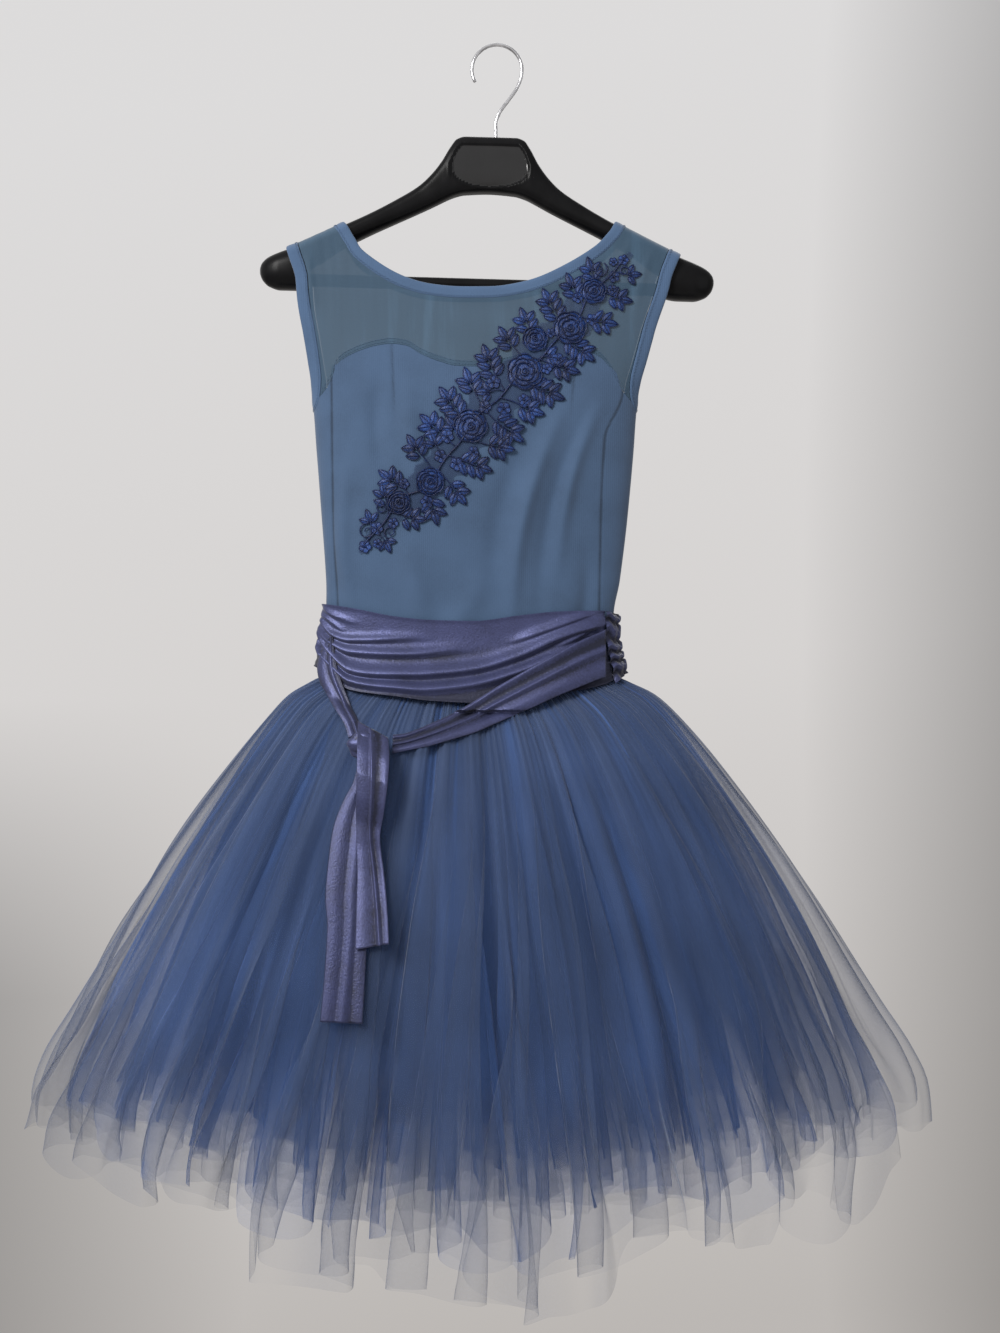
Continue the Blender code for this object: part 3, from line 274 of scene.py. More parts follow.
def neck_loop(back, count=161):
    """Neck edge from the left shoulder ridge to the right one, and the binding's seam below it."""
    lift = NECK_BACK_LIFT if back else 0.0
    width = NECK_RIGHT_X - NECK_LEFT_X
    inner = [(x, h + lift * math.sin(math.pi * (x - NECK_LEFT_X) / width)) for x, h in NECK_FRONT_POINTS]
    first, last = [(x, ridge_height(x)) for x in (NECK_LEFT_X, NECK_RIGHT_X)]
    edge = to_angles(smooth_path([first] + inner + [last], count, END_CROWDING), back)
    return edge, offset_on_cloth(edge, BINDING_WIDTH, NECK_CENTRE)


def armhole_loop(side, count=201):
    """Armhole edge down the front, under the arm and up the back, and the binding's seam beside it."""
    tip, points = ARMHOLES[side]
    edge_points = [(tip, ridge_height(tip))] + points
    front, back = to_angles(edge_points), to_angles(edge_points, back=True)
    if side < 0:
        back[:, 0] -= 2 * math.pi
    loop = np.vstack([front, [(side * math.pi / 2, UNDERARM)], back[::-1]])
    scale = np.array([BODY_RADIUS, 1])
    edge = smooth_path(loop * scale, count, END_CROWDING) / scale
    middle_x = garment_surface(*edge[count // 5])[0]
    return edge, offset_on_cloth(edge, BINDING_WIDTH, np.array([middle_x + side * 60, 0, -275]))


# Mesh making.

ALL_PIECES = {}


def make_mesh(name, points, faces, material, slot):
    mesh = bpy.data.meshes.new(name)
    mesh.from_pydata((np.asarray(points) * MM).tolist(), [], faces)
    mesh.update()
    mesh.shade_smooth()
    piece = bpy.data.objects.new("fine_" + name, mesh)
    bpy.context.scene.collection.objects.link(piece)
    mesh.materials.append(material)
    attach(piece, "root")
    ALL_PIECES[name] = piece
    return piece


def grid_faces(columns, rows, wrap=False, flip=False, first=0):
    i = np.arange(columns if wrap else columns - 1)
    following = (i + 1) % columns
    j = np.arange(rows - 1)
    a = (i[:, None] * rows + j).ravel() + first
    b = (following[:, None] * rows + j).ravel() + first
    faces = np.column_stack([a, b, b + 1, a + 1])
    return (faces[:, ::-1] if flip else faces).tolist()


def grid_piece(name, grid, material, slot, wrap=False, flip=False):
    """Single sheet of cloth through a (columns, rows, 3) grid of points."""
    columns, rows = grid.shape[:2]
    return make_mesh(name, grid.reshape(-1, 3), grid_faces(columns, rows, wrap, flip), material, slot)


def set_values(piece, attribute, values):
    layer = piece.data.attributes.new(attribute, "FLOAT", "POINT")
    layer.data.foreach_set("value", np.asarray(values, dtype=np.float32).ravel())


def tube(points, radius, sides=6, closed=False):
    """Vertices and faces of a round tube along points: radius is one number or one for each point."""
    points = np.asarray(points, dtype=float)
    count = len(points)
    ahead = np.roll(points, -1, axis=0) - np.roll(points, 1, axis=0)
    if not closed:
        ahead[0], ahead[-1] = points[1] - points[0], points[-1] - points[-2]
    ahead /= np.linalg.norm(ahead, axis=1, keepdims=True) + 1e-12
    helper = np.array([0.137, -0.981, 0.139])
    side = np.cross(ahead, helper)
    side /= np.linalg.norm(side, axis=1, keepdims=True) + 1e-12
    up = np.cross(side, ahead)
    turns = 2 * math.pi * np.arange(sides) / sides
    radius = np.broadcast_to(np.asarray(radius, dtype=float), count)[:, None, None]
    ring = side[:, None] * np.cos(turns)[None, :, None] + up[:, None] * np.sin(turns)[None, :, None]
    vertices = points[:, None] + ring * radius
    faces = []
    for i in range(count if closed else count - 1):
        after = (i + 1) % count
        for k in range(sides):
            k2 = (k + 1) % sides
            faces.append((i * sides + k, i * sides + k2, after * sides + k2, after * sides + k))
    if not closed:
        faces.append(tuple(range(sides))[::-1])
        faces.append(tuple((count - 1) * sides + k for k in range(sides)))
    return vertices.reshape(-1, 3), faces


class Gather:
    """Collects many small closed forms into one mesh."""

    def __init__(self):
        self.points, self.faces, self.count = [], [], 0

    def add(self, points, faces):
        self.points.append(np.asarray(points, dtype=float))
        self.faces += [tuple(self.count + k for k in face) for face in faces]
        self.count += len(points)

    def all_points(self):
        return np.vstack(self.points)


# Materials.

def new_material(name, colour, roughness, metallic=0.0, specular=0.5):
    material = bpy.data.materials.new(name)
    material.use_nodes = True
    tree = material.node_tree
    shader = tree.nodes["Principled BSDF"]
    shader.inputs["Base Color"].default_value = (*colour, 1)
    shader.inputs["Roughness"].default_value = roughness
    shader.inputs["Metallic"].default_value = metallic
    shader.inputs["Specular IOR Level"].default_value = specular
    return material, tree, shader


def node(tree, kind, values=None, **settings):
    made = tree.nodes.new(kind)
    for key, value in settings.items():
        setattr(made, key, value)
    for key, value in (values or {}).items():
        made.inputs[key].default_value = value
    return made


def math_node(tree, operation, first, second=None):
    made = node(tree, "ShaderNodeMath", operation=operation)
    for slot, value in enumerate((first, second)):
        if value is None:
            continue
        if isinstance(value, (int, float)):
            made.inputs[slot].default_value = value
        else:
            tree.links.new(value, made.inputs[slot])
    return made.outputs[0]


def weighted(tree, first, share, second, other):
    """First and second, each multiplied by its share, added."""
    return math_node(tree, "ADD", math_node(tree, "MULTIPLY", first, share),
                     math_node(tree, "MULTIPLY", second, other))


def attribute(tree, name):
    return node(tree, "ShaderNodeAttribute", attribute_name=name).outputs["Fac"]


def noise(tree, scale, detail=3.0, stretch=(1, 1, 1), roughness=0.5):
    place = node(tree, "ShaderNodeTexCoord")
    mapping = node(tree, "ShaderNodeMapping", {"Scale": stretch})
    made = node(tree, "ShaderNodeTexNoise", {"Scale": scale, "Detail": detail, "Roughness": roughness})
    tree.links.new(place.outputs["Object"], mapping.inputs["Vector"])
    tree.links.new(mapping.outputs["Vector"], made.inputs["Vector"])
    return made.outputs["Fac"]


def vary_colour(tree, shader, factor, stops, target="Base Color"):
    """Colour read from stops of (place, colour) by a 0 to 1 factor."""
    ramp = node(tree, "ShaderNodeValToRGB")
    elements = ramp.color_ramp.elements
    while len(elements) < len(stops):
        elements.new(0.5)
    for element, (place, colour) in zip(elements, stops):
        element.position = place
        element.color = (*colour, 1)
    tree.links.new(factor, ramp.inputs["Fac"])
    tree.links.new(ramp.outputs["Color"], shader.inputs[target])


def bump(tree, shader, height, strength, distance):
    made = node(tree, "ShaderNodeBump", {"Strength": strength, "Distance": distance})
    tree.links.new(height, made.inputs["Height"])
    tree.links.new(made.outputs["Normal"], shader.inputs["Normal"])


def scaled(colour, factor):
    return tuple(c * factor for c in colour)


def knit(tree, scale):
    """Fine knitted ribs that run down the cloth, broken up by noise."""
    ribs = node(tree, "ShaderNodeTexWave", bands_direction="X", values={
        "Scale": scale, "Distortion": 0.6, "Detail": 1.0, "Detail Scale": 2.0})
    place = node(tree, "ShaderNodeTexCoord")
    tree.links.new(place.outputs["Object"], ribs.inputs["Vector"])
    grain = noise(tree, 900, 2.0)
    return math_node(tree, "ADD", math_node(tree, "MULTIPLY", ribs.outputs["Fac"], 0.5), grain)


def jersey_material(name, colour):
    material, tree, shader = new_material(name, colour, 0.82, specular=0.25)
    shader.inputs["Sheen Weight"].default_value = 0.25
    shader.inputs["Sheen Roughness"].default_value = 0.5
    mottle = noise(tree, 26, 4.0)
    fine = noise(tree, 700, 2.0)
    mixed = weighted(tree, mottle, 0.7, fine, 0.3)
    # The seam attribute darkens the colour in the seam and dart grooves: painted shade.
    seam = attribute(tree, "seam")
    shaded = math_node(tree, "SUBTRACT", mixed, math_node(tree, "MULTIPLY", seam, 0.5))
    vary_colour(tree, shader, shaded, [(0.0, scaled(colour, 0.45)), (0.35, scaled(colour, 0.9)),
                                       (0.5, colour), (0.75, scaled(colour, 1.12))])
    bump(tree, shader, knit(tree, 160), 0.25, 0.0006)
    return material


def thin_alpha(tree, shader, clear, density):
    """Alpha of a net, denser where it is seen at a slant: clear is the light it lets through face on."""
    slant = node(tree, "ShaderNodeLayerWeight", {"Blend": 0.5}).outputs["Facing"]
    level = math_node(tree, "MAXIMUM", math_node(tree, "SUBTRACT", 1.0, slant), 0.06)
    layers = math_node(tree, "DIVIDE", density, level)
    passed = math_node(tree, "POWER", clear, layers)
    tree.links.new(math_node(tree, "SUBTRACT", 1.0, passed), shader.inputs["Alpha"])


def mesh_material(name, colour, clear):
    material, tree, shader = new_material(name, colour, 0.7, specular=0.3)
    shader.inputs["Sheen Weight"].default_value = 0.2
    streaks = noise(tree, 60, 5.0, stretch=(1, 1, 0.07), roughness=0.6)
    vary_colour(tree, shader, streaks, [(0.3, scaled(colour, 0.9)), (0.55, colour),
                                        (0.72, scaled(colour, 1.35))])
    grain = math_node(tree, "ADD", math_node(tree, "MULTIPLY", noise(tree, 1100, 1.0), 0.5), 0.75)
    thin_alpha(tree, shader, clear, math_node(tree, "MULTIPLY", attribute(tree, "weave"), grain))
    bump(tree, shader, noise(tree, 900, 2.0), 0.15, 0.0004)
    return material


def tulle_material(name, colour, clear):
    material, tree, shader = new_material(name, colour, 0.75, specular=0.35)
    shader.inputs["Sheen Weight"].default_value = 0.3
    shader.inputs["Sheen Roughness"].default_value = 0.4
    cloud = noise(tree, 9, 3.0)
    vary_colour(tree, shader, cloud, [(0.3, scaled(colour, 0.85)), (0.5, colour),
                                      (0.7, scaled(colour, 1.18))])
    grain = math_node(tree, "ADD", math_node(tree, "MULTIPLY", noise(tree, 800, 1.0), 0.7), 0.65)
    thin_alpha(tree, shader, clear, math_node(tree, "MULTIPLY", attribute(tree, "weave"), grain))
    return material


def satin_material(name, colour):
    material, tree, shader = new_material(name, colour, 0.4, metallic=0.5, specular=0.5)
    shader.inputs["Sheen Weight"].default_value = 0.15
    grain = noise(tree, 520, 2.0, roughness=0.7)
    soft = noise(tree, 40, 3.0)
    mixed = weighted(tree, grain, 0.6, soft, 0.4)
    # This attribute darkens the satin's colour in the hollows between folds: painted shade.
    painted_fold_shade = attribute(tree, "painted_fold_shade")
    mixed = math_node(tree, "SUBTRACT", mixed, math_node(tree, "MULTIPLY", painted_fold_shade, 0.5))
    vary_colour(tree, shader, mixed, [(0.1, scaled(colour, 0.25)), (0.35, scaled(colour, 0.75)),
                                      (0.5, colour), (0.7, scaled(colour, 1.3))])
    bump(tree, shader, grain, 0.35, 0.0009)
    return material


def cord_material(name, colour, painted_highlight):
    material, tree, shader = new_material(name, colour, 0.42, specular=0.35)
    twist = noise(tree, 900, 2.0)
    patches = noise(tree, 45, 2.0)
    mixed = weighted(tree, twist, 0.6, patches, 0.4)
    # The lightest colour, in random patches, stands in for the thread's sheen: a painted highlight.
    vary_colour(tree, shader, mixed, [(0.35, scaled(colour, 0.5)), (0.5, colour), (0.68, painted_highlight)])
    bump(tree, shader, twist, 0.6, 0.0008)
    return material


def plastic_material(name, roughness, shine):
    colour = (0.006, 0.006, 0.0066)
    material, tree, shader = new_material(name, colour, roughness, specular=shine)
    scuff = noise(tree, 35, 6.0, roughness=0.7)
    vary_colour(tree, shader, scuff, [(0.3, scaled(colour, 0.8)), (0.7, scaled(colour, 1.3))])
    spread = node(tree, "ShaderNodeMapRange", {"To Min": roughness * 0.8, "To Max": roughness * 1.35})
    tree.links.new(scuff, spread.inputs["Value"])
    tree.links.new(spread.outputs["Result"], shader.inputs["Roughness"])
    bump(tree, shader, noise(tree, 600, 2.0), 0.05, 0.0003)
    return material


def wire_material():
    material, tree, shader = new_material("wire", (0.62, 0.62, 0.64), 0.14, metallic=1.0)
    rub = noise(tree, 300, 3.0)
    vary_colour(tree, shader, rub, [(0.3, (0.5, 0.5, 0.52)), (0.7, (0.7, 0.7, 0.72))])
    bump(tree, shader, rub, 0.05, 0.0002)
    return material


JERSEY_BLUE = (0.056, 0.100, 0.182)
MESH_BLUE = (0.044, 0.088, 0.142)
TULLE_BLUE = (0.062, 0.130, 0.345)
# Darker, greyer copy of the tulle colour for the outer layers: painted shade on the same net.
TULLE_OUTER_SHADED = (0.056, 0.088, 0.180)
SATIN_VIOLET = (0.060, 0.070, 0.175)
CORD_BLUE = (0.005, 0.012, 0.055)
# Lighter cord colour used as a painted highlight.
CORD_PAINTED_HIGHLIGHT = (0.012, 0.035, 0.15)

JERSEY = jersey_material("jersey", JERSEY_BLUE)
# The jersey colour made 1.2 times lighter for the binding and seam allowance: a painted highlight.
JERSEY_PAINTED_HIGHLIGHT = jersey_material("binding", scaled(JERSEY_BLUE, 1.2))
THREAD = jersey_material("thread", scaled(JERSEY_BLUE, 1.15))
MESH = mesh_material("yoke_mesh", MESH_BLUE, 0.17)
SATIN = satin_material("satin", scaled(SATIN_VIOLET, 0.82))
# Darker copy of the satin for the long tail: painted shade.
SHADED_TAIL_SATIN = satin_material("satin_tail_shaded", (0.024, 0.030, 0.090))
CORD = cord_material("cord", CORD_BLUE, CORD_PAINTED_HIGHLIGHT)
PLASTIC = plastic_material("plastic", 0.28, 0.09)
GLOSS = plastic_material("recess_gloss", 0.06, 0.6)
WIRE = wire_material()


# Bodice.

# Soft folds and hollows of the jersey at the front.
# Columns: start x, start z, end x, end z, half width, rise.
FRONT_FOLDS = [
    (62, -352, 14, -560, 8, 2.4),
    (40, -350, -6, -540, 11, -1.4),
    (98, -345, 58, -500, 7, 2.0),
    (82, -360, 40, -560, 9, -1.6),
    (-84, -330, -62, -440, 9, 1.5),
    (-112, -320, -104, -420, 8, -1.2),
    (-70, -560, -95, -470, 12, 1.6),
    (-60, -575, -10, -505, 13, 1.4),
    (-140, -400, -132, -560, 7, 1.2),
    (-20, -330, 12, -372, 8, 1.0),
    (-120, -600, -60, -560, 10, -1.0),
    (72, -590, 84, -480, 8, -1.3),
]
# The same columns for the back, where the cloth hangs straighter.
BACK_FOLDS = [
    (-90, -350, -70, -570, 10, 1.6),
    (-20, -345, -34, -560, 12, -1.4),
    (50, -350, 36, -580, 9, 1.8),
    (96, -370, 70, -540, 9, -1.2),
    (-130, -420, -110, -590, 8, -1.4),
]
FOLD_RISE = 2.6
# Columns: z, x. Short bust darts below the sweetheart seam.
DARTS = [
    smooth_table([(-286, -99.5), (-330, -97.5), (-372, -96)]),
    smooth_table([(-286, 74), (-330, 72), (-372, 69)]),
]


def fold_relief(folds, x, z):
    relief = np.zeros(np.broadcast(x, z).shape)
    for start_x, start_z, end_x, end_z, half_width, rise in folds:
        run_x, run_z = end_x - start_x, end_z - start_z
        length = math.hypot(run_x, run_z)
        along = ((x - start_x) * run_x + (z - start_z) * run_z) / length
        across = ((x - start_x) * run_z - (z - start_z) * run_x) / length
        bow = 0.06 * length * np.sin(math.pi * np.clip(along / length, 0, 1))
        fade = np.sin(math.pi * np.clip((along / length + 0.1) / 1.2, 0, 1)) ** 1.5
        relief += rise * fade * np.exp(-((across - bow) / half_width) ** 2)
    return relief


def bodice_top(angle):
    """Top of the bodice by angle: sweetheart seam, underarm seams and the back seam."""
    top = np.full(angle.shape, BACK_YOKE_SEAM - SEAM_GAP / 2)
    front = np.cos(angle) > 0
    for _ in range(5):
        x = ring_point(BODY(top), angle)[0]
        top = np.where(front, SWEETHEART(x)[..., 0] - SEAM_GAP / 2, top)
    for side in (-1, 1):
        seam = armhole_loop(side)[1]
        low = seam[seam[:, 1] < -312]
        order = np.argsort(low[:, 0])
        low = low[order]
        turned = np.where(side * angle < 0, angle + side * 2 * math.pi, angle)
        limit = np.interp(turned, low[:, 0], low[:, 1] - 0.6, left=0, right=0)
        top = np.minimum(top, limit)
    return top


def make_bodice():
    columns, rows = 460, 96
    angle = np.linspace(-math.pi, math.pi, columns, endpoint=False)
    top = bodice_top(angle)
    share = np.linspace(0, 1, rows)
    height = BODICE_BOTTOM + (top[:, None] - BODICE_BOTTOM) * share
    angles = np.broadcast_to(angle[:, None], height.shape)
    x = ring_point(BODY(height), angles)[0]
    front = np.cos(angles) > 0
    relief = np.where(front, fold_relief(FRONT_FOLDS, x, height), fold_relief(BACK_FOLDS, x, height))
    lift = FOLD_RISE * relief * smoothstep(0, 25, top[:, None] - height)
    seam = np.exp(-(np.abs(np.abs(angles) - BACK_SIDE_SEAM) * 60 / SEAM_WIDTH) ** 2)
    dart = 0.8 * smoothstep(-375, -320, height)
    lines = [(table, SEAM_WIDTH, 1.0) for table in (FRONT_SEAM_LEFT, FRONT_SEAM_RIGHT)]
    for table, width, depth in lines + [(table, DART_WIDTH, dart) for table in DARTS]:
        line = depth * np.exp(-((x - table(height)[..., 0]) / width) ** 2)
        seam = np.maximum(seam, np.where(front, line, 0))
    grid = garment_point(angles, height, lift - 0.5 * seam)
    bodice = grid_piece("bodice", grid, JERSEY, "jersey", wrap=True)
    # The same seam mask darkens these grooves in the jersey material: painted shade.
    set_values(bodice, "seam", seam)
    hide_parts("front_panel", "side_left", "side_right", "back_panel")


def yoke_side(side, back):
    """The x of the armhole binding's seam, read by height."""
    seam = armhole_loop(side)[1]
    half = len(seam) // 2
    branch = seam[half:] if back else seam[:half + 1]
    places = ring_point(BODY(branch[:, 1]), branch[:, 0])[0] - side * 1.0
    order = np.argsort(branch[:, 1])
    heights, places = branch[order, 1], places[order]
    return lambda height: np.interp(height, heights, places)


def make_yoke(name, back):
    left_x, right_x = yoke_side(-1, back), yoke_side(1, back)
    seam = neck_loop(back)[1]
    angle = math.pi - seam[:, 0] if back else seam[:, 0]
    neck_x = ring_point(BODY(seam[:, 1]), angle)[0]
    neck_h = np.minimum(seam[:, 1] - SEAM_GAP, ridge_height(neck_x) - 0.3)
    left_end, right_end = left_x(ridge_height(left_x(-180))), right_x(ridge_height(right_x(-180)))
    left = np.linspace(left_end, neck_x[0] - SEAM_GAP, 24)
    right = np.linspace(neck_x[-1] + SEAM_GAP, right_end, 24)
    top_x = np.concatenate([left, neck_x[1:-1], right])
    top_h = np.concatenate([ridge_height(left) - 0.3, neck_h[1:-1], ridge_height(right) - 0.3])
    share = np.clip((top_x - left_x(top_h)) / (right_x(top_h) - left_x(top_h)), 0, 1)
    rows = np.linspace(0, 1, 60)
    rows = 0.45 * rows + 0.55 * (1 - (1 - rows) ** 2)
    height = top_h[:, None] + (1 - rows) * (-330 - top_h[:, None])
    for _ in range(8):
        x = left_x(height) + (right_x(height) - left_x(height)) * share[:, None]
        bottom = BACK_YOKE_SEAM if back else SWEETHEART(x)[..., 0] + 0.2
        height = bottom + (top_h[:, None] - bottom) * rows
    angles = angle_at(x, height)
    angles = math.pi - angles if back else angles
    puckers = 0.5 * np.sin(x * 0.55 + 2 * np.sin(height * 0.03)) * smoothstep(-300, -200, height)
    tuck = fold_relief([(-176, -196, -168, -262, 4, 1.4), (150, -196, 132, -262, 4, 1.2),
                        (128, -190, 112, -235, 4, 1.0)], x, height)
    lift = 0.35 * puckers * (0.5 + 0.5 * np.sin(x * 0.07 + 1)) + tuck * smoothstep(0.0, 0.1, 1 - rows)
    grid = garment_point(angles, height, lift * np.sin(math.pi * rows) ** 0.5)
    piece = grid_piece(name, grid, MESH, "mesh", flip=back)
    set_values(piece, "weave", np.ones(height.shape))
    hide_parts(name)


# Section of a folded strip, all round. Columns: share of the strip's width, height off the cloth.
STRIP_SECTION = [
    (-0.03, -0.5), (0.0, 0.1), (0.1, 0.55), (0.3, 0.7), (0.55, 0.62), (0.75, 0.35), (0.86, 0.5), (1.0, 0.3),
    (1.03, -0.2), (1.0, -0.9), (0.5, -1.2), (0.03, -1.1),
]


def make_binding(name, edge, seam):
    grid = []
    for share, lift in STRIP_SECTION:
        place = edge + (seam - edge) * share
        grid.append(garment_point(*place.T, np.full(len(place), lift)))
    grid = np.array(grid).transpose(1, 0, 2)
    columns, rows = grid.shape[:2]
    faces = grid_faces(columns, rows, wrap=True)
    for i in range(columns):
        after = (i + 1) % columns
        faces.append((i * rows + rows - 1, after * rows + rows - 1, after * rows, i * rows))
    piece = make_mesh(name, grid.reshape(-1, 3), faces, JERSEY_PAINTED_HIGHLIGHT, "binding")
    set_values(piece, "seam", np.zeros(columns * rows))
    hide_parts(name)


def zigzag(edge, seam):
    """Line of points of a zigzag stitch along a strip, near its seam."""
    points = garment_surface(*(edge + (seam - edge) * STITCH_SHARE).T)
    length = run_length(points)
    count = int(length[-1] / STITCH_PITCH)
    where = np.linspace(0, length[-1], count)
    swing = STITCH_SHARE + STITCH_SWING / BINDING_WIDTH * np.where(np.arange(count) % 2 == 0, 1, -1)
    edge_at = np.column_stack([np.interp(where, length, edge[:, k]) for k in (0, 1)])
    seam_at = np.column_stack([np.interp(where, length, seam[:, k]) for k in (0, 1)])
    place = edge_at + (seam_at - edge_at) * swing[:, None]
    return garment_point(*place.T, np.full(count, 0.75))


def make_bindings():
    front, back, left, right = neck_loop(False), neck_loop(True), armhole_loop(-1), armhole_loop(1)
    make_binding("neck_binding", *(np.vstack([ahead, behind[-2:0:-1]]) for ahead, behind in zip(front, back)))
    make_binding("armhole_binding_left", *(line[:-1] for line in left))
    make_binding("armhole_binding_right", *(line[:-1] for line in right))
    stitches = Gather()
    for edge, seam in (front, back, left, right):
        stitches.add(*tube(zigzag(edge[3:-3], seam[3:-3]), 0.16, sides=3))
    for above_seam in (2.0, 5.0):
        x = np.linspace(-172, 124, 420)
        x = x[np.abs(np.gradient(SWEETHEART(x)[..., 0])) < 3]
        z = SWEETHEART(x)[..., 0] + above_seam
        dash = garment_point(angle_at(x, z), z, np.where(np.arange(len(x)) % 4 < 3, 0.35, -0.3))
        stitches.add(*tube(dash, 0.15, sides=3))
    piece = make_mesh("stitching", stitches.all_points(), stitches.faces, THREAD, "binding")
    set_values(piece, "seam", np.zeros(stitches.count))


def make_seam_allowance():
    """Edge of the jersey turned up behind the mesh, along the sweetheart seam."""
    x = np.linspace(-150, 112, 300)
    rows = np.linspace(0, 1, 5)
    low = SWEETHEART(x)[..., 0]
    height = low[:, None] - 0.5 + 6.0 * rows
    angle = angle_at(x[:, None] + 0 * height, height)
    grid = garment_point(angle, height, np.full(height.shape, -0.9))
    piece = grid_piece("seam_allowance", grid, JERSEY_PAINTED_HIGHLIGHT, "jersey")
    set_values(piece, "seam", np.zeros(height.shape))


# Tulle skirt.

# Columns: path length, half width, z. The skirt's outline at its sides.
SKIRT_SIDE = smooth_table([
    (0, 138, -603), (20, 156, -612), (45, 178, -624), (87, 207, -655), (147, 244, -702),
    (237, 296, -777), (355, 358, -877), (406, 385, -920), (459, 414, -964), (492, 427, -994),
    (531, 430, -1033), (575, 431, -1076),
])
# Columns: path length, depth, z. The skirt's profile at the centre front.
SKIRT_FRONT = smooth_table([
    (0, 23, -621), (20, 35, -637), (45, 50, -657), (87, 68, -695), (147, 87, -752), (237, 112, -838),
    (355, 141, -952), (459, 161, -1054), (531, 173, -1125), (575, 178, -1169),
])
# Columns: path length, depth, z. The skirt's profile at the centre back.
SKIRT_BACK = smooth_table([
    (0, 22, -621), (20, 31, -639), (45, 40, -662), (87, 50, -703), (147, 59, -762), (237, 68, -851),
    (355, 77, -969), (459, 84, -1072), (531, 88, -1144), (575, 90, -1188),
])
# Columns: path length, centre x, squareness, flute height.
SKIRT_SHAPE = smooth_table([
    (0, -27, 0.9, 0.8), (20, -26, 0.9, 1.4), (60, -24, 0.8, 3.5), (140, -22, 0.7, 7), (260, -21, 0.6, 11),
    (390, -22, 0.5, 14.5), (575, -23, 0.5, 19),
])
# Columns: x, how much lower the outer hem hangs there at the front.
HEM_FRONT = smooth_table([
    (-460, 0), (-425, -30), (-400, -41), (-366, -35), (-312, -27), (-254, -35), (-224, -66),
    (-210, -5), (-195, 8), (-150, 2), (-115, 0), (-99, 12), (-65, -8), (-28, 10), (4, 27), (34, 34),
    (51, 20), (71, 16), (97, 5),
    (137, -32), (160, -25), (187, -3), (215, 5), (245, 12), (258, -16), (290, 10), (305, 6), (335, 12),
    (348, -16), (380, -22), (405, -20),
])


PROFILE_STEP = 5.0
PROFILE_END = 575


def layer_profile(table, share):
    """A narrower profile: it stands out less, and falls steeper so that its path keeps its length."""
    path = np.arange(0, 640, PROFILE_STEP)
    out = table(path)
    reach = out[:, 0]
    slope = np.gradient(np.where(path > PROFILE_END, reach[path == PROFILE_END], reach), path)
    slope = slope * (share + (1 - share) * np.exp(-path / 40))
    fall = np.sqrt(np.maximum(1 - slope * slope, 0.02))
    across, down = (np.concatenate([[0], np.cumsum((rate[1:] + rate[:-1]) / 2 * PROFILE_STEP)])
                    for rate in (slope, fall))
    return path, reach[0] + across, out[0, 1] - down


def layer_surface(spread, depth, inset):
    """Surface of one tulle layer, read by angle and path length."""
    side = layer_profile(SKIRT_SIDE, spread)
    front, back = (layer_profile(table, depth) for table in (SKIRT_FRONT, SKIRT_BACK))

    def surface(angle, path):
        shape = SKIRT_SHAPE(path)
        half_width = np.interp(path, side[0], side[1]) - inset
        side_z = np.interp(path, side[0], side[2])
        depths = [np.interp(path, table[0], table[1]) - inset for table in (front, back)]
        section = np.stack([shape[..., 0], half_width, *depths, shape[..., 1]], axis=-1)
        x, y = ring_point(section, angle)
        front_z, back_z = (np.interp(path, table[0], table[2]) for table in (front, back))
        middle = np.where(np.cos(angle) > 0, front_z, back_z)
        return surface_point(x, y, middle + (side_z - middle) * np.sin(angle) ** 2)

    return surface


def wave_sum(random, share, path, low, high, drift):
    """Uneven folds: waves round the skirt, low to high in number, that slide as they run down."""
    total = np.zeros(np.broadcast(share, path).shape)
    numbers = np.unique(np.linspace(low, high, WAVES).astype(int))
    for number in numbers:
        phase = random.uniform(0, 2 * math.pi)
        slide = random.uniform(-drift, drift)
        swell = random.uniform(0.5, 1.0)
        beat = random.uniform(0, 2 * math.pi)
        wave = np.cos(2 * math.pi * number * share + phase + slide * path / 100)
        total += swell * wave * (1 + 0.4 * np.sin(path / 90 + beat))
    return total / math.sqrt(0.3 * len(numbers))


# Columns: name, side spread, depth, inset, hem path, flute share, fold seed, light let through,
# weave at the waist, columns, rows.
TULLE_LAYERS = [
    ("tulle_1", 1.0, 1.0, 0.0, 535, 1.0, 11, 0.87, 3.6, 980, 64),
    ("tulle_2", 0.975, 0.94, 1.2, 520, 1.0, 23, 0.86, 3.6, 860, 56),
    ("tulle_3", 0.92, 0.84, 2.4, 500, 0.95, 37, 0.81, 3.4, 760, 50),
    ("tulle_4", 0.82, 0.74, 3.6, 478, 0.85, 41, 0.70, 3.0, 660, 44),
    ("tulle_5", 0.72, 0.64, 4.8, 455, 0.75, 59, 0.56, 3.0, 560, 40),
    ("tulle_6", 0.64, 0.56, 6.0, 432, 0.6, 67, 0.36, 3.0, 480, 34),
    ("skirt_lining", 0.56, 0.5, 7.5, 400, 0.4, 73, 0.04, 1.0, 320, 24),
]
WAVES = 14
FOLD_LEAN = 0.0007
LEAN_LIMIT = 0.05
# How much thinner a layer's net gets towards its hem, and over what length. The inner layers fade out.
HEM_CLEAR = {"tulle_5": (0.62, 200), "tulle_6": (0.8, 200), "skirt_lining": (0.97, 200)}
OUTER_HEM_CLEAR = (0.5, 150)
HEM_DEPTH = 1.3
SHADED_OUTER_LAYERS = 2
OUT_LIMIT = 7.0
CRUMPLE = 3.2
HEM_INWARD = 0.6


def even_angles(surface, count):
    fine = np.linspace(-math.pi, math.pi, 2001)
    points = surface(fine, np.full(fine.shape, 280.0))
    length = run_length(points)
    return np.interp(np.arange(count) / count * length[-1], length, fine)


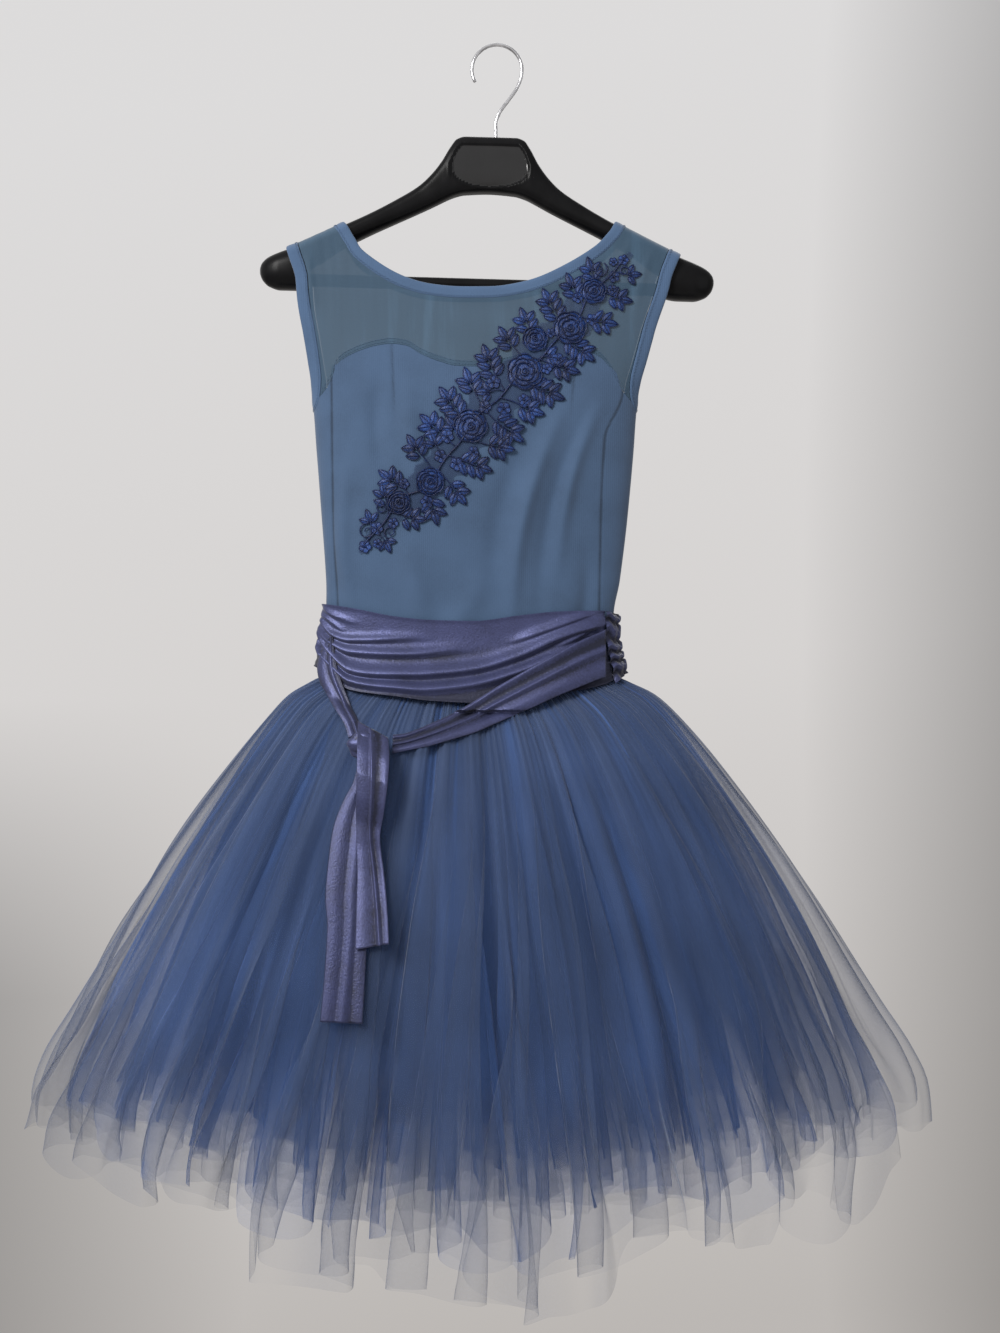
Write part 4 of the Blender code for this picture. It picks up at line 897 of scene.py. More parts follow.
def make_tulle(row):
    name, spread, depth, inset, hem, flute, seed, _, waist_weave, columns, rows = row
    random = np.random.default_rng(seed)
    surface = layer_surface(spread, depth, inset)
    angle = even_angles(surface, columns)
    share = np.arange(columns) / columns
    x_hem = surface(angle, np.full(angle.shape, float(hem)))[:, 0]
    level = np.zeros(columns)
    ragged = 9 * wave_sum(random, share, level, 4, 13, 0) + 2.5 * wave_sum(random, share, level, 20, 44, 0)
    front = smoothstep(-0.1, 0.25, np.cos(angle))
    shaped, rough = (1.0, 0.4) if name == "tulle_1" else (0.5, 1.0)
    drop = shaped * front * HEM_FRONT(x_hem)[:, 0] + rough * ragged
    down = np.linspace(0, 1, rows) ** 1.15
    path = (hem + drop)[:, None] * down
    share_grid = np.broadcast_to(share[:, None], path.shape)
    gathers = wave_sum(random, share_grid, path, 110, 190, 0.5)
    crumple = wave_sum(random, share_grid, path, 14, 60, 5.0) * CRUMPLE * smoothstep(120, 480, path) * flute
    middle = wave_sum(random, share_grid, path, 26, 56, 1.6)
    flutes = wave_sum(random, share_grid, path, 9, 22, 0.6)
    envelope = SKIRT_SHAPE(path)[..., 2] * flute
    size_gather = 1.0 * np.exp(-path / 70) + 0.08
    size_middle = 3.0 * smoothstep(10, 260, path) * flute + 0.5
    low = smoothstep(300, 520, path)
    size_flute = envelope * (0.85 + HEM_DEPTH * low)
    angles = np.broadcast_to(angle[:, None], path.shape)
    under_tails = np.exp(-(np.clip(np.abs((surface(angles, path)[..., 0] + 126) / 40), 0, 9)) ** 4)
    under_tails = under_tails * (np.cos(angles) > 0) * smoothstep(420, 340, path)
    corner = (np.abs(angles) - BACK_CORNER) / BACK_CORNER_SPREAD
    calm = (1 - 0.55 * np.exp(-corner * corner)) * (1 - 0.6 * under_tails)
    flutes = np.tanh(flutes * 0.8) * 1.1
    inward = HEM_INWARD * low
    lift = size_flute * (flutes - inward) + size_middle * middle * 0.8 + size_gather * gathers + crumple
    lift = lift * calm
    lift = np.where(lift > 0, OUT_LIMIT * np.tanh(lift / OUT_LIMIT), lift)
    lift = np.where(under_tails > 0.3, np.minimum(lift, envelope * 0.8), lift)
    lean = FOLD_LEAN * np.gradient(flutes ** 2, share, axis=0) * smoothstep(60, 400, path) * calm
    lean = LEAN_LIMIT * np.tanh(lean / LEAN_LIMIT)
    waist_hold = smoothstep(0, 12, path)
    grid = with_lift(surface, angles - lean * waist_hold, path, -lift * waist_hold)
    piece = grid_piece(name, grid, TULLE[name], "tulle", wrap=True, flip=True)
    weave = 1 + (waist_weave - 1) * np.exp(-path / 130) + 0.3 * gathers * np.exp(-path / 150)
    weave *= 1 + 0.3 * middle
    clear, fade = HEM_CLEAR.get(name, OUTER_HEM_CLEAR)
    weave *= 1 - clear * smoothstep(hem - fade, hem - 15, path)
    set_values(piece, "weave", np.maximum(weave, 0.03))
    return piece


TULLE = {}
for number, row in enumerate(TULLE_LAYERS):
    # The outer layers get the darker tulle colour: painted shade.
    TULLE[row[0]] = tulle_material(row[0], TULLE_OUTER_SHADED if number < SHADED_OUTER_LAYERS else TULLE_BLUE, row[7])


def make_skirt():
    pieces = [make_tulle(row) for row in TULLE_LAYERS]
    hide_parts("skirt_top")
    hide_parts("skirt_middle")
    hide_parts("skirt_under")


# Sash.

# Columns: z, centre x, half width, front depth, back depth, squareness. The sash over the waist.
SASH = smooth_table([
    (-530, -26, 141.3, 27.5, 24.1, 0.9),
    (-560, -26.5, 141.5, 27.3, 24.1, 0.9),
    (-580, -27, 144.5, 28.2, 25.2, 0.9),
    (-600, -27, 149.5, 31, 27, 0.9),
    (-640, -27, 154, 41, 33.5, 0.9),
])
# Columns: x, top z, bottom z.
SASH_FRONT_EDGES = smooth_table([
    (-180, -533, -592), (-160, -536, -602), (-138, -539.5, -617), (-94, -548, -623), (-63, -551, -627),
    (-21, -552, -629), (20, -547, -626.5), (59, -543, -620.5), (101, -542, -612), (118, -545, -604),
    (130, -546, -600),
])
SASH_END_GAP = math.radians(1.6)
SASH_START = -math.radians(94)
SASH_GATHER_START = math.radians(66)
SASH_GATHER_END = math.radians(108)
# Each fold: rise, width above its crest, width below it, and points of its crest as shares across and down.
SASH_FOLDS = [
    (2.6, 0.07, 0.03, [(0.02, 0.26), (0.08, 0.28), (0.18, 0.42), (0.3, 0.38), (0.46, 0.24)]),
    (3.4, 0.08, 0.035, [(0.02, 0.3), (0.07, 0.42), (0.2, 0.55), (0.4, 0.49), (0.56, 0.36)]),
    (4.6, 0.11, 0.035, [(0.02, 0.36), (0.12, 0.58), (0.24, 0.74), (0.36, 0.77), (0.57, 0.63), (0.7, 0.5),
                        (0.82, 0.33), (0.92, 0.23), (1.0, 0.2)]),
    (4.0, 0.08, 0.04, [(0.03, 0.45), (0.1, 0.74), (0.28, 0.9), (0.45, 0.9), (0.57, 0.82), (0.72, 0.66),
                       (0.86, 0.48)]),
    (1.6, 0.05, 0.03, [(0.08, 0.05), (0.16, 0.13), (0.26, 0.17)]),
    (1.8, 0.05, 0.03, [(0.03, 0.16), (0.12, 0.2), (0.22, 0.3)]),
    (2.6, 0.07, 0.03, [(0.7, 0.3), (0.8, 0.2), (0.9, 0.08), (0.96, 0.02)]),
    (2.2, 0.06, 0.03, [(0.82, 0.42), (0.9, 0.3), (0.97, 0.14)]),
    (3.0, 0.05, 0.03, [(0.06, 0.66), (0.1, 0.8), (0.15, 0.72)]),
]


def sash_surface(angle, height):
    x, y = ring_point(SASH(height), angle)
    return surface_point(x, y, height)


def sash_back_edges(angle):
    """Top and bottom of the sash round the back, level with its ends at the front."""
    side = 0.5 - 0.5 * np.sin(angle)
    return -545 + 10 * side, -600 + 6 * side - 20 * np.cos(angle) ** 2


def crest_relief(folds, across, down):
    relief = np.zeros(np.broadcast(across, down).shape)
    for rise, above, below, points in folds:
        crest = smooth_path(points, 60)
        start, end = crest[0, 0], crest[-1, 0]
        order = np.argsort(crest[:, 0])
        line = np.interp(across, crest[order, 0], crest[order, 1])
        fade = smoothstep(start - 0.04, start + 0.06, across) * smoothstep(end + 0.06, end - 0.1, across)
        away = down - line
        width = np.where(away < 0, above, below)
        ridge = rise * fade * np.exp(-(away / width) ** 2)
        relief = np.maximum(relief, ridge) + 0.25 * np.minimum(relief, ridge)
    return relief


def sash_piece(name, angles, height, lift, painted_fold_shade):
    piece = grid_piece(name, with_lift(sash_surface, angles, height, lift), SATIN, "satin")
    set_values(piece, "painted_fold_shade", painted_fold_shade)
    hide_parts(name)


def make_sash_front():
    columns, rows = 300, 120
    across = np.linspace(0, 1, columns)
    angle = SASH_START + (SASH_GATHER_START - SASH_END_GAP / 4 - SASH_START) * across
    down = np.linspace(1, 0, rows)
    angles = np.broadcast_to(angle[:, None], (columns, rows))
    height = np.broadcast_to(-540.0 - 70.0 * down, (columns, rows))
    for _ in range(6):
        edges = SASH_FRONT_EDGES(ring_point(SASH(height), angles)[0])
        height = edges[..., 0] + (edges[..., 1] - edges[..., 0]) * down
    cross, fall = np.broadcast_to(across[:, None], height.shape), np.broadcast_to(down, height.shape)
    relief = 1.25 * crest_relief(SASH_FOLDS, cross, fall)
    pulls = 0.5 * np.sin(fall * 55 + cross * 25) * np.exp(-cross / 0.06)
    pulls += 0.35 * np.sin(fall * 70 - cross * 30) * np.exp((cross - 1) / 0.05)
    edge_roll = 0.8 * np.exp(-((1 - fall) / 0.03) ** 2) + 0.6 * np.exp(-(fall / 0.03) ** 2)
    relief = relief * np.minimum(1, 12 * fall + 0.1) * np.minimum(1, 12 * (1 - fall) + 0.1)
    # Darkest away from the fold crests: painted shade in the valleys.
    painted_fold_shade = np.exp(-relief / 0.7) * smoothstep(0.25, 0.5, fall)
    sash_piece("sash_front", angles, height, relief + pulls + edge_roll, painted_fold_shade)


def make_sash_gather():
    columns, rows = 70, 140
    share = np.linspace(0, 1, columns)[:, None]
    down = np.linspace(1, 0, rows)[None, :]
    width = SASH_GATHER_END - SASH_GATHER_START + SASH_END_GAP / 2
    angle = SASH_GATHER_START - SASH_END_GAP / 4 + width * share
    front_edges = SASH_FRONT_EDGES(ring_point(SASH(-575.0), angle)[0])
    front_top, front_bottom = front_edges[..., 0], front_edges[..., 1]
    back_top, back_bottom = sash_back_edges(angle)
    top = front_top + (back_top - front_top) * share
    bottom = front_bottom + (back_bottom - front_bottom) * share
    height = top + (bottom - top) * down
    wobble = 0.35 * np.sin(9 * share + 1.0) + 0.2 * np.sin(23 * share)
    phase = 2 * math.pi * (5.2 * down + 0.5 * wobble + 0.25 * np.sin(2 * math.pi * down * 1.5))
    ruche = (0.5 - 0.5 * np.cos(phase)) ** 0.6
    fine = 0.5 * np.sin(4 * phase + 8 * share)
    pinch = 0.55 + 0.45 * np.abs(np.sin(math.pi * (share * 2 + 0.25)))
    angles = np.broadcast_to(angle, height.shape)
    # The last value darkens the satin between the ruches: painted shade.
    sash_piece("sash_gather", angles, height, (4.2 * ruche + fine * 0.5) * pinch, 1.2 * (1 - ruche))


SASH_BACK_FOLDS = [
    (2.0, 0.1, 0.05, [(0.0, 0.2), (0.3, 0.34), (0.7, 0.3), (1.0, 0.24)]),
    (2.4, 0.1, 0.05, [(0.0, 0.45), (0.35, 0.6), (0.7, 0.52), (1.0, 0.42)]),
    (2.0, 0.1, 0.05, [(0.0, 0.7), (0.4, 0.84), (0.7, 0.78), (1.0, 0.66)]),
]


def make_sash_back():
    columns, rows = 200, 48
    angle = np.linspace(SASH_GATHER_END + SASH_END_GAP / 4, 2 * math.pi + SASH_START, columns)[:, None]
    down = np.linspace(1, 0, rows)[None, :]
    top, bottom = sash_back_edges(angle)
    height = top + (bottom - top) * down
    across = (angle - angle[0]) / (angle[-1] - angle[0])
    relief = crest_relief(SASH_BACK_FOLDS, across + 0 * height, down + 0 * height)
    relief = relief * np.minimum(1, 8 * (1 - down)) * np.minimum(1, 8 * down)
    # The last value darkens the satin between the folds: painted shade.
    sash_piece("sash_back", angle + 0 * height, height, 0.75 * relief, np.exp(-relief / 0.8))


# Straps, knot and tails.

# Columns: x, top z, bottom z. The strap from the right side down to the knot.
STRAP_RIGHT = [
    (103, -560, -606), (99, -562, -606), (78, -571, -614), (58, -582, -622), (38, -592.5, -631),
    (18, -603.5, -639.5), (-2, -615, -648), (-21, -627, -656), (-41, -638.5, -662), (-62, -648, -668),
    (-82, -656, -672), (-96, -658, -675),
]
# Columns: left x, left z, right x, right z. The strap from the left side down to the knot.
STRAP_LEFT = [
    (-161, -568, -156, -566), (-168, -582, -153.5, -582), (-171, -595, -151, -596), (-168, -609, -146, -610),
    (-160, -622, -141, -622), (-151, -635, -136, -633), (-142, -648, -130, -643), (-137, -661, -125, -656),
]
# Columns: left x, left z, right x, right z, lift off the skirt.
TAIL_SHORT = [
    (-127.5, -645, -99, -660, 18), (-127, -655, -98, -667, 25.5), (-126.5, -668, -97, -676, 27),
    (-126, -684, -97, -688, 20), (-126, -704, -98, -704, 9), (-126.5, -726, -101, -726, 4.6),
    (-126, -749, -104.5, -749, 3.1), (-124.5, -779, -100.5, -779, 3.1), (-124.3, -810, -97, -808, 3.1),
    (-124.3, -844, -94.7, -839, 3.1),
]
TAIL_LONG = [
    (-127, -680, -111, -680, -0.5), (-131, -700, -112, -700, -0.5), (-140, -718, -113, -718, -0.5),
    (-148, -741, -114, -741, -0.5), (-151.5, -771, -114.6, -771, -0.5), (-153, -801, -114.6, -801, -0.5),
    (-150.5, -826, -114.6, -826, -0.5), (-151.5, -866, -115.5, -866, -0.5), (-154, -905, -117, -906, -0.5),
]
KNOT_CENTRE = (-121.5, -667.0)
KNOT_HALF = (16.0, 8.0, 13.0)
KNOT_LIFT = 4.9
SASH_CLEARANCE = 4.2
FLUTE_CLEARANCE = 1.15
SATIN_WALL = 0.9
# Bands lie on the sash above the first of these heights and on the skirt below the second.
SASH_ENDS, SKIRT_STARTS = -606, -636
# Columns: node, edges, lift off the cloth, folds, columns, rows.
# Columns of a fold: share across at its start and at its end, rise, width.
BANDS = [
    ("sash_strap_right", [(x, top, x, bottom) for x, top, bottom in STRAP_RIGHT], [1.6, 1.8],
     [(0.02, 0.12, 2.2, 0.1), (0.42, 0.5, 2.8, 0.08), (0.8, 0.82, 1.8, 0.16)], 48, 150),
    ("sash_strap_left", STRAP_LEFT, [0.35, 0.35], [(0.2, 0.3, 1.2, 0.22), (0.72, 0.68, 1.5, 0.1)], 40, 80),
    ("sash_tail_short", TAIL_SHORT, [row[4] for row in TAIL_SHORT],
     [(0.18, 0.2, 1.3, 0.3), (0.42, 0.72, 2.6, 0.07), (0.9, 0.98, 1.4, 0.14)], 52, 140),
    ("sash_tail_long", TAIL_LONG, [row[4] for row in TAIL_LONG],
     [(0.3, 0.12, 1.4, 0.24), (0.75, 0.5, 1.5, 0.16), (0.5, 0.95, 0.9, 0.2)], 52, 140),
]


def skirt_surface(angle, path):
    half_width, side_z = np.moveaxis(SKIRT_SIDE(path), -1, 0)
    front, front_z = np.moveaxis(SKIRT_FRONT(path), -1, 0)
    back = SKIRT_BACK(path)[..., 0]
    shape = SKIRT_SHAPE(path)
    x, y = ring_point(np.stack([shape[..., 0], half_width, front, back, shape[..., 1]], axis=-1), angle)
    return surface_point(x, y, front_z + (side_z - front_z) * np.sin(angle) ** 2)


def flute_height(angle, path):
    uneven = 0.78 + 0.16 * np.sin(3 * angle + 0.8) + 0.06 * np.sin(7 * angle + 2.1)
    corner = (np.abs(angle) - BACK_CORNER) / BACK_CORNER_SPREAD
    return SKIRT_SHAPE(path)[..., 2] * uneven * (1 - 0.6 * np.exp(-corner * corner))


def over_sash_and_skirt(x, z, lift):
    """Point at this x and z, in front of both the sash and the skirt."""
    x, z = np.broadcast_arrays(np.asarray(x, float), np.asarray(z, float))
    on_sash = ring_point(SASH(z), angle_at(x, z, SASH))[1] - SASH_CLEARANCE
    path = np.full(x.shape, 60.0)
    for _ in range(40):
        half_width = SKIRT_SIDE(path)[..., 0]
        angle = np.arcsin(np.clip((x - SKIRT_SHAPE(path)[..., 0]) / half_width, -0.995, 0.995))
        path = np.clip(path + 0.8 * (skirt_surface(angle, path)[..., 2] - z), 0, 570)
    on_skirt = skirt_surface(angle, path)[..., 1] - FLUTE_CLEARANCE * flute_height(angle, path)
    nearer = np.minimum(on_sash, on_skirt)
    depth = np.where(z > SASH_ENDS, on_sash, np.where(z < SKIRT_STARTS, on_skirt, nearer))
    return surface_point(x, depth - lift, z)


def band(name, edges, lift, folds, columns, rows):
    """Satin band between two edge curves, with lengthwise folds."""
    along = np.linspace(0, 1, rows)
    edge_l, edge_r = (smooth_path([row[k:k + 2] for row in edges], rows) for k in (0, 2))
    lifts = np.interp(along, np.linspace(0, 1, len(lift)), lift)
    across = np.linspace(0, 1, columns)[:, None]
    x = edge_l[:, 0] + (edge_r[:, 0] - edge_l[:, 0]) * across
    z = edge_l[:, 1] + (edge_r[:, 1] - edge_l[:, 1]) * across
    relief = np.zeros(x.shape)
    for start, end, rise, width in folds:
        middle = start + (end - start) * along
        relief = np.maximum(relief, rise * np.exp(-((across - middle) / width) ** 2))
    grid = over_sash_and_skirt(x, z, relief + lifts)
    smooth = grid.copy()
    for _ in range(6):
        smooth[:, 1:-1, 1] = (smooth[:, :-2, 1] + 2 * smooth[:, 1:-1, 1] + smooth[:, 2:, 1]) / 4
    smooth[..., 1] = np.minimum(smooth[..., 1], grid[..., 1] + 0.2)
    # The long tail gets the darker satin: painted shade.
    satin = SHADED_TAIL_SATIN if name == "sash_tail_long" else SATIN
    piece = grid_piece(name, smooth, satin, "satin", flip=True)
    # Darker away from the fold crests: painted shade in the valleys.
    set_values(piece, "painted_fold_shade", np.exp(-relief / 0.6))
    solid = piece.modifiers.new("Thickness", "SOLIDIFY")
    solid.thickness = SATIN_WALL * MM
    solid.offset = -1
    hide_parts(name)


def make_knot():
    """Round knot of a wrapped strip, pinched into ridges."""
    centre = over_sash_and_skirt(*KNOT_CENTRE, KNOT_LIFT + KNOT_HALF[1])
    columns, rows = 72, 50
    turn = np.linspace(0, 2 * math.pi, columns, endpoint=False)[:, None]
    rise = np.linspace(-0.97, 0.97, rows)[None, :] * math.pi / 2
    wraps = 1 + 0.07 * np.cos(6 * rise + 1.2 * np.sin(turn)) + 0.03 * np.sin(5 * turn)
    grid = centre + surface_point(KNOT_HALF[0] * 0.96 * np.cos(rise) * np.sin(turn) * wraps,
                                  -KNOT_HALF[1] * 0.96 * np.cos(rise) * np.cos(turn) * wraps,
                                  KNOT_HALF[2] * np.sin(rise) * (1 + 0 * turn))
    knot = grid_piece("sash_knot", grid, SATIN, "satin", wrap=True)
    # Darker in the knot's pinched hollows: painted shade.
    set_values(knot, "painted_fold_shade", np.clip((1.0 - wraps) * 8, 0, 1))
    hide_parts("sash_knot")


# Applique.

APPLIQUE_START = np.array([-131.0, -489.0])
APPLIQUE_END = np.array([136.0, -196.0])
# Columns: distance along the applique, distance across it, rose radius.
ROSES = [
    (62, 4, 8.5), (96, -5, 10.5), (160, 2, 12.5), (232, -1, 13.5), (262, 13, 9.5), (292, -4, 12.5),
    (333, 3, 9.5),
]
# Columns: distance along, distance across, radius of each small five-petal blossom.
BLOSSOMS = [
    (10, 0, 6.0), (30, 3, 6.0), (80, -15, 6.0), (125, -12, 6.5), (138, 12, 6.5), (193, -10, 6.5),
    (205, 14, 6.5), (262, -16, 6.0), (312, -14, 5.5), (356, -2, 5.5), (374, 2, 5.0), (120, 4, 6.0),
    (182, 4, 6.0), (212, -18, 5.5), (248, -14, 5.0), (318, 10, 5.0), (20, -7, 4.5), (44, -5, 5.0),
    (366, 8, 4.0), (144, -16, 5.0), (78, 12, 5.0), (276, 6, 4.5), (346, -9, 4.5),
]
# Leafy twigs. Columns: root along, root across, tip along, tip across, leaf pairs, leaf length.
TWIGS = [
    (26, 3, 34, 18, 1, 8), (30, -3, 24, -17, 1, 8), (46, 4, 62, 24, 2, 9), (50, -4, 64, -22, 2, 9),
    (74, 8, 72, 32, 2, 10), (88, -10, 74, -32, 2, 10), (104, 4, 112, 34, 2, 10), (108, -12, 104, -38, 2, 10),
    (126, -6, 140, -36, 3, 10), (136, 8, 136, 38, 2, 10.5), (150, -10, 168, -38, 2, 10.5),
    (160, 12, 166, 42, 3, 10.5), (180, -6, 182, -38, 3, 10.5), (178, 8, 194, 38, 2, 10.5),
    (198, -8, 212, -36, 2, 10.5), (206, 10, 222, 40, 3, 10.5), (226, -12, 236, -40, 3, 10.5),
    (238, 10, 246, 40, 2, 10), (250, -8, 264, -34, 2, 10), (262, 18, 272, 38, 2, 9.5),
    (282, -10, 284, -36, 3, 10), (290, 8, 300, 34, 3, 10), (306, -8, 322, -30, 2, 9.5),
    (316, 6, 326, 28, 2, 9.5), (338, 4, 350, 24, 2, 9), (336, -6, 348, -26, 2, 9), (358, -3, 372, -16, 1, 8),
    (118, 2, 128, 22, 1, 9), (206, -2, 190, 16, 1, 9), (252, 2, 262, -14, 1, 9), (146, 0, 150, 20, 1, 9),
]
LEAF_STEP = 8.0
LEAF_SCALE = 1.4
ROSE_SCALE = 1.2
STEM_ALONG = [8, 62, 96, 160, 232, 292, 333, 378]
STEM_ACROSS = [0, 4, -5, 2, -1, -4, 3, 1]
# Curling tendrils at both ends. Columns: start along, start across, first turn, turns, start radius.
TENDRILS = [
    (22, 8, 0.4, 1.35, 8.0), (36, -9, 3.6, -1.25, 6.5), (48, 12, 1.0, 1.2, 6.0), (352, 12, 0.2, -1.3, 7.5),
    (344, -11, 3.4, 1.2, 6.0), (366, -6, 5.2, 1.2, 5.5),
]


def round_line(centre, radius, around, height):
    """Points round a centre, at this radius and height off the cloth."""
    x, y = centre[0] + radius * np.cos(around), centre[1] + radius * np.sin(around)
    return np.column_stack(np.broadcast_arrays(x, y, height))


def dome_leaf(parts, cords, root, tip, width, height):
    """Pointed leaf: a padded oval with toothed edges, a cord round it and a cord down its middle."""
    root, tip = np.array(root, float), np.array(tip, float)
    run = tip - root
    side = np.array([-run[1], run[0]]) / np.linalg.norm(run)
    count = 12
    t = np.linspace(0.0, 1.0, count)
    half = width / 2 * np.sin(math.pi * t ** 0.8) ** 0.75 * (1 + 0.1 * np.cos(t * 38))
    middle = root + run * t[:, None]
    rows = []
    for share, rise in ((-1, 0.15), (-0.6, 0.85), (0, 0.55), (0.6, 0.85), (1, 0.15)):
        flat = middle + side * (half * share)[:, None]
        lift = np.full(count, height * rise) * (0.4 + 0.6 * np.sin(math.pi * t))
        rows.append(np.column_stack([flat, lift]))
    grid = np.array(rows)
    parts.add(grid.reshape(-1, 3), grid_faces(5, count, flip=True))
    outline = np.vstack([middle + side * half[:, None], (middle - side * half[:, None])[::-1]])
    outline = np.column_stack([outline, np.full(len(outline), height * 0.5)])
    cords.add(*tube(outline, 0.55, sides=5, closed=True))
    rib = np.column_stack([middle[:-1], np.full(count - 1, height * 0.85)])
    cords.add(*tube(rib, 0.5, sides=5))


def blossom(parts, cords, centre, radius, turn):
    """Small flower of five round petals, each with a cord round it, and a knotted middle."""
    for k in range(5):
        angle = turn + 2 * math.pi * k / 5
        middle = np.array(centre) + radius * 0.58 * np.array([math.cos(angle), math.sin(angle)])
        circle = np.linspace(0, 2 * math.pi, 10, endpoint=False)
        ring = round_line(middle, radius * 0.42, circle, 0.9)
        cords.add(*tube(ring, 0.5, sides=5, closed=True))
        top = np.vstack([ring, [[*middle, 1.3]]])
        parts.add(top, [(i, (i + 1) % 10, 10) for i in range(10)])
    circle = np.linspace(0, 2 * math.pi, 6, endpoint=False)
    cords.add(*tube(round_line(centre, 0.9, circle, 1.6), 0.75, sides=5, closed=True))


def rose(parts, cords, centre, radius, turn):
    """Round flower: a padded disc under rings of overlapping corded petals and a coiled heart."""
    rings = []
    circle = np.linspace(0, 2 * math.pi, 40, endpoint=False)
    for share, rise in ((1.0, 0.2), (0.92, 1.3), (0.7, 1.7), (0.45, 1.3), (0.2, 2.0), (0.02, 2.1)):
        wave = 1 + 0.05 * np.cos(6 * circle + turn) * share
        rings.append(round_line(centre, radius * share * wave, circle, rise))
    grid = np.array(rings).transpose(1, 0, 2)
    parts.add(grid.reshape(-1, 3), grid_faces(40, 6, wrap=True))
    for ring_share, petals, rise, start in ((0.94, 6, 1.7, 0.0), (0.72, 5, 2.2, 0.6), (0.5, 4, 2.5, 1.1)):
        for k in range(petals):
            angle = turn + start + 2 * math.pi * k / petals
            sweep = 2 * math.pi / petals * 1.35
            t = np.linspace(0, 1, 12)
            bow = ring_share * radius * (1 + 0.14 * np.sin(math.pi * t) - 0.2 * (1 - t) ** 3)
            around = angle + sweep * (t - 0.5)
            line = round_line(centre, bow, around, rise + 0.3 * np.sin(math.pi * t))
            cords.add(*tube(line, 0.6 * np.sin(math.pi * (0.12 + 0.76 * t)) + 0.12, sides=6))
    t = np.linspace(0, 1, 34)
    coil = radius * 0.3 * (1 - 0.85 * t)
    around = turn + 2 * math.pi * 1.8 * t
    cords.add(*tube(round_line(centre, coil, around, 2.5 + 0.5 * t), 0.62, sides=6))


def applique_net(parts):
    """Fine net that the embroidery is worked on, a little wider than the stem line."""
    along = np.linspace(2, 384, 120)
    wide = np.interp(along, [0, 20, 60, 110, 170, 240, 300, 340, 392], [1, 7, 14, 18, 20, 22, 18, 12, 1])
    wide = wide * (1 + 0.12 * np.sin(along * 0.21) + 0.08 * np.sin(along * 0.53))
    stem = np.interp(along, STEM_ALONG, STEM_ACROSS)
    share = np.linspace(-1, 1, 12)
    across = stem[:, None] + wide[:, None] * share
    grid = surface_point(along[:, None], across, 0.12)
    parts.add(grid.reshape(-1, 3), grid_faces(120, 12))


def laid_on_front(flat):
    """Lay points of the applique's own flat plane, (along, across, height), on the front of the dress."""
    forward = (APPLIQUE_END - APPLIQUE_START) / np.linalg.norm(APPLIQUE_END - APPLIQUE_START)
    side = np.array([-forward[1], forward[0]])
    place = APPLIQUE_START + flat[:, :1] * forward + flat[:, 1:2] * side
    x, z = place[:, 0], place[:, 1]
    below_yoke = z < SWEETHEART(x)[..., 0]
    fold = FOLD_RISE * fold_relief(FRONT_FOLDS, x, z).clip(0, 3) * below_yoke
    return garment_point(angle_at(x, z), z, 0.9 + flat[:, 2] + fold)


def make_applique():
    random = np.random.default_rng(5)
    petals, cords, net = Gather(), Gather(), Gather()
    applique_net(net)
    stem = smooth_path(list(zip(STEM_ALONG, STEM_ACROSS)), 140)
    stem[:, 1] += 1.5 * np.sin(stem[:, 0] * 0.12)
    cords.add(*tube(np.column_stack([stem, np.full(140, 1.0)]), 0.9, sides=6))
    for along, across, radius in ROSES:
        rose(petals, cords, (along, across), radius * ROSE_SCALE, random.uniform(0, 6))
    for along, across, radius in BLOSSOMS:
        blossom(petals, cords, (along, across), radius, random.uniform(0, 6))
    for root_along, root_across, tip_along, tip_across, pairs, length in TWIGS:
        length = length * LEAF_SCALE
        root = np.array([root_along, root_across], dtype=float)
        run = np.array([tip_along, tip_across]) - root
        reach = np.linalg.norm(run)
        forward = run / reach
        side = np.array([-forward[1], forward[0]])
        foot = np.array([root_along, float(np.interp(root_along, STEM_ALONG, STEM_ACROSS))])
        stalk_end = root + forward * (reach - length * 0.6)
        bend = (foot + stalk_end) / 2 + side * random.uniform(-2, 2)
        stalk = smooth_path([foot, bend, stalk_end], 12)
        cords.add(*tube(np.column_stack([stalk, np.full(12, 1.1)]), 0.62, sides=5))
        height = random.uniform(1.3, 1.7)
        dome_leaf(petals, cords, stalk_end, stalk_end + forward * (length + 1), length * 0.52, height)
        for k in range(2 * pairs):
            start = stalk_end - forward * (LEAF_STEP * (k // 2) + 1)
            lean = forward * random.uniform(0.45, 0.65) + side * (0.8 if k % 2 else -0.8)
            lean = lean / np.linalg.norm(lean)
            dome_leaf(petals, cords, start + lean * 1.2, start + lean * length, length * 0.5, height)
    for along, across, first, turns, radius in TENDRILS:
        t = np.linspace(0, 1, 30)
        around = first + 2 * math.pi * turns * t
        coil = radius * (1 - 0.8 * t)
        cords.add(*tube(round_line((along, across), coil, around, 1.2), 0.8 - 0.3 * t, sides=6))
    for name, parts, material in (("petals", petals, FILL), ("cords", cords, CORD), ("net", net, NET)):
        make_mesh("applique_" + name, laid_on_front(parts.all_points()), parts.faces, material, "cord")
    set_values(ALL_PIECES["applique_net"], "weave", np.ones(net.count))
    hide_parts("applique")


# Satin-stitch fill; its lightest colour is a painted highlight.
FILL = cord_material("satin_stitch", (0.010, 0.030, 0.125), (0.028, 0.088, 0.33))
NET = mesh_material("applique_net", (0.03, 0.055, 0.13), 0.55)


# Hanger.

def tilted(x, y, z):
    """Turn points of the level hanger round its hub by the tilt that it hangs at."""
    run, rise = x - HUB_X, z - HUB_Z
    cosine, sine = math.cos(HANGER_TILT), math.sin(HANGER_TILT)
    return surface_point(HUB_X + run * cosine + rise * sine, y, HUB_Z - run * sine + rise * cosine)


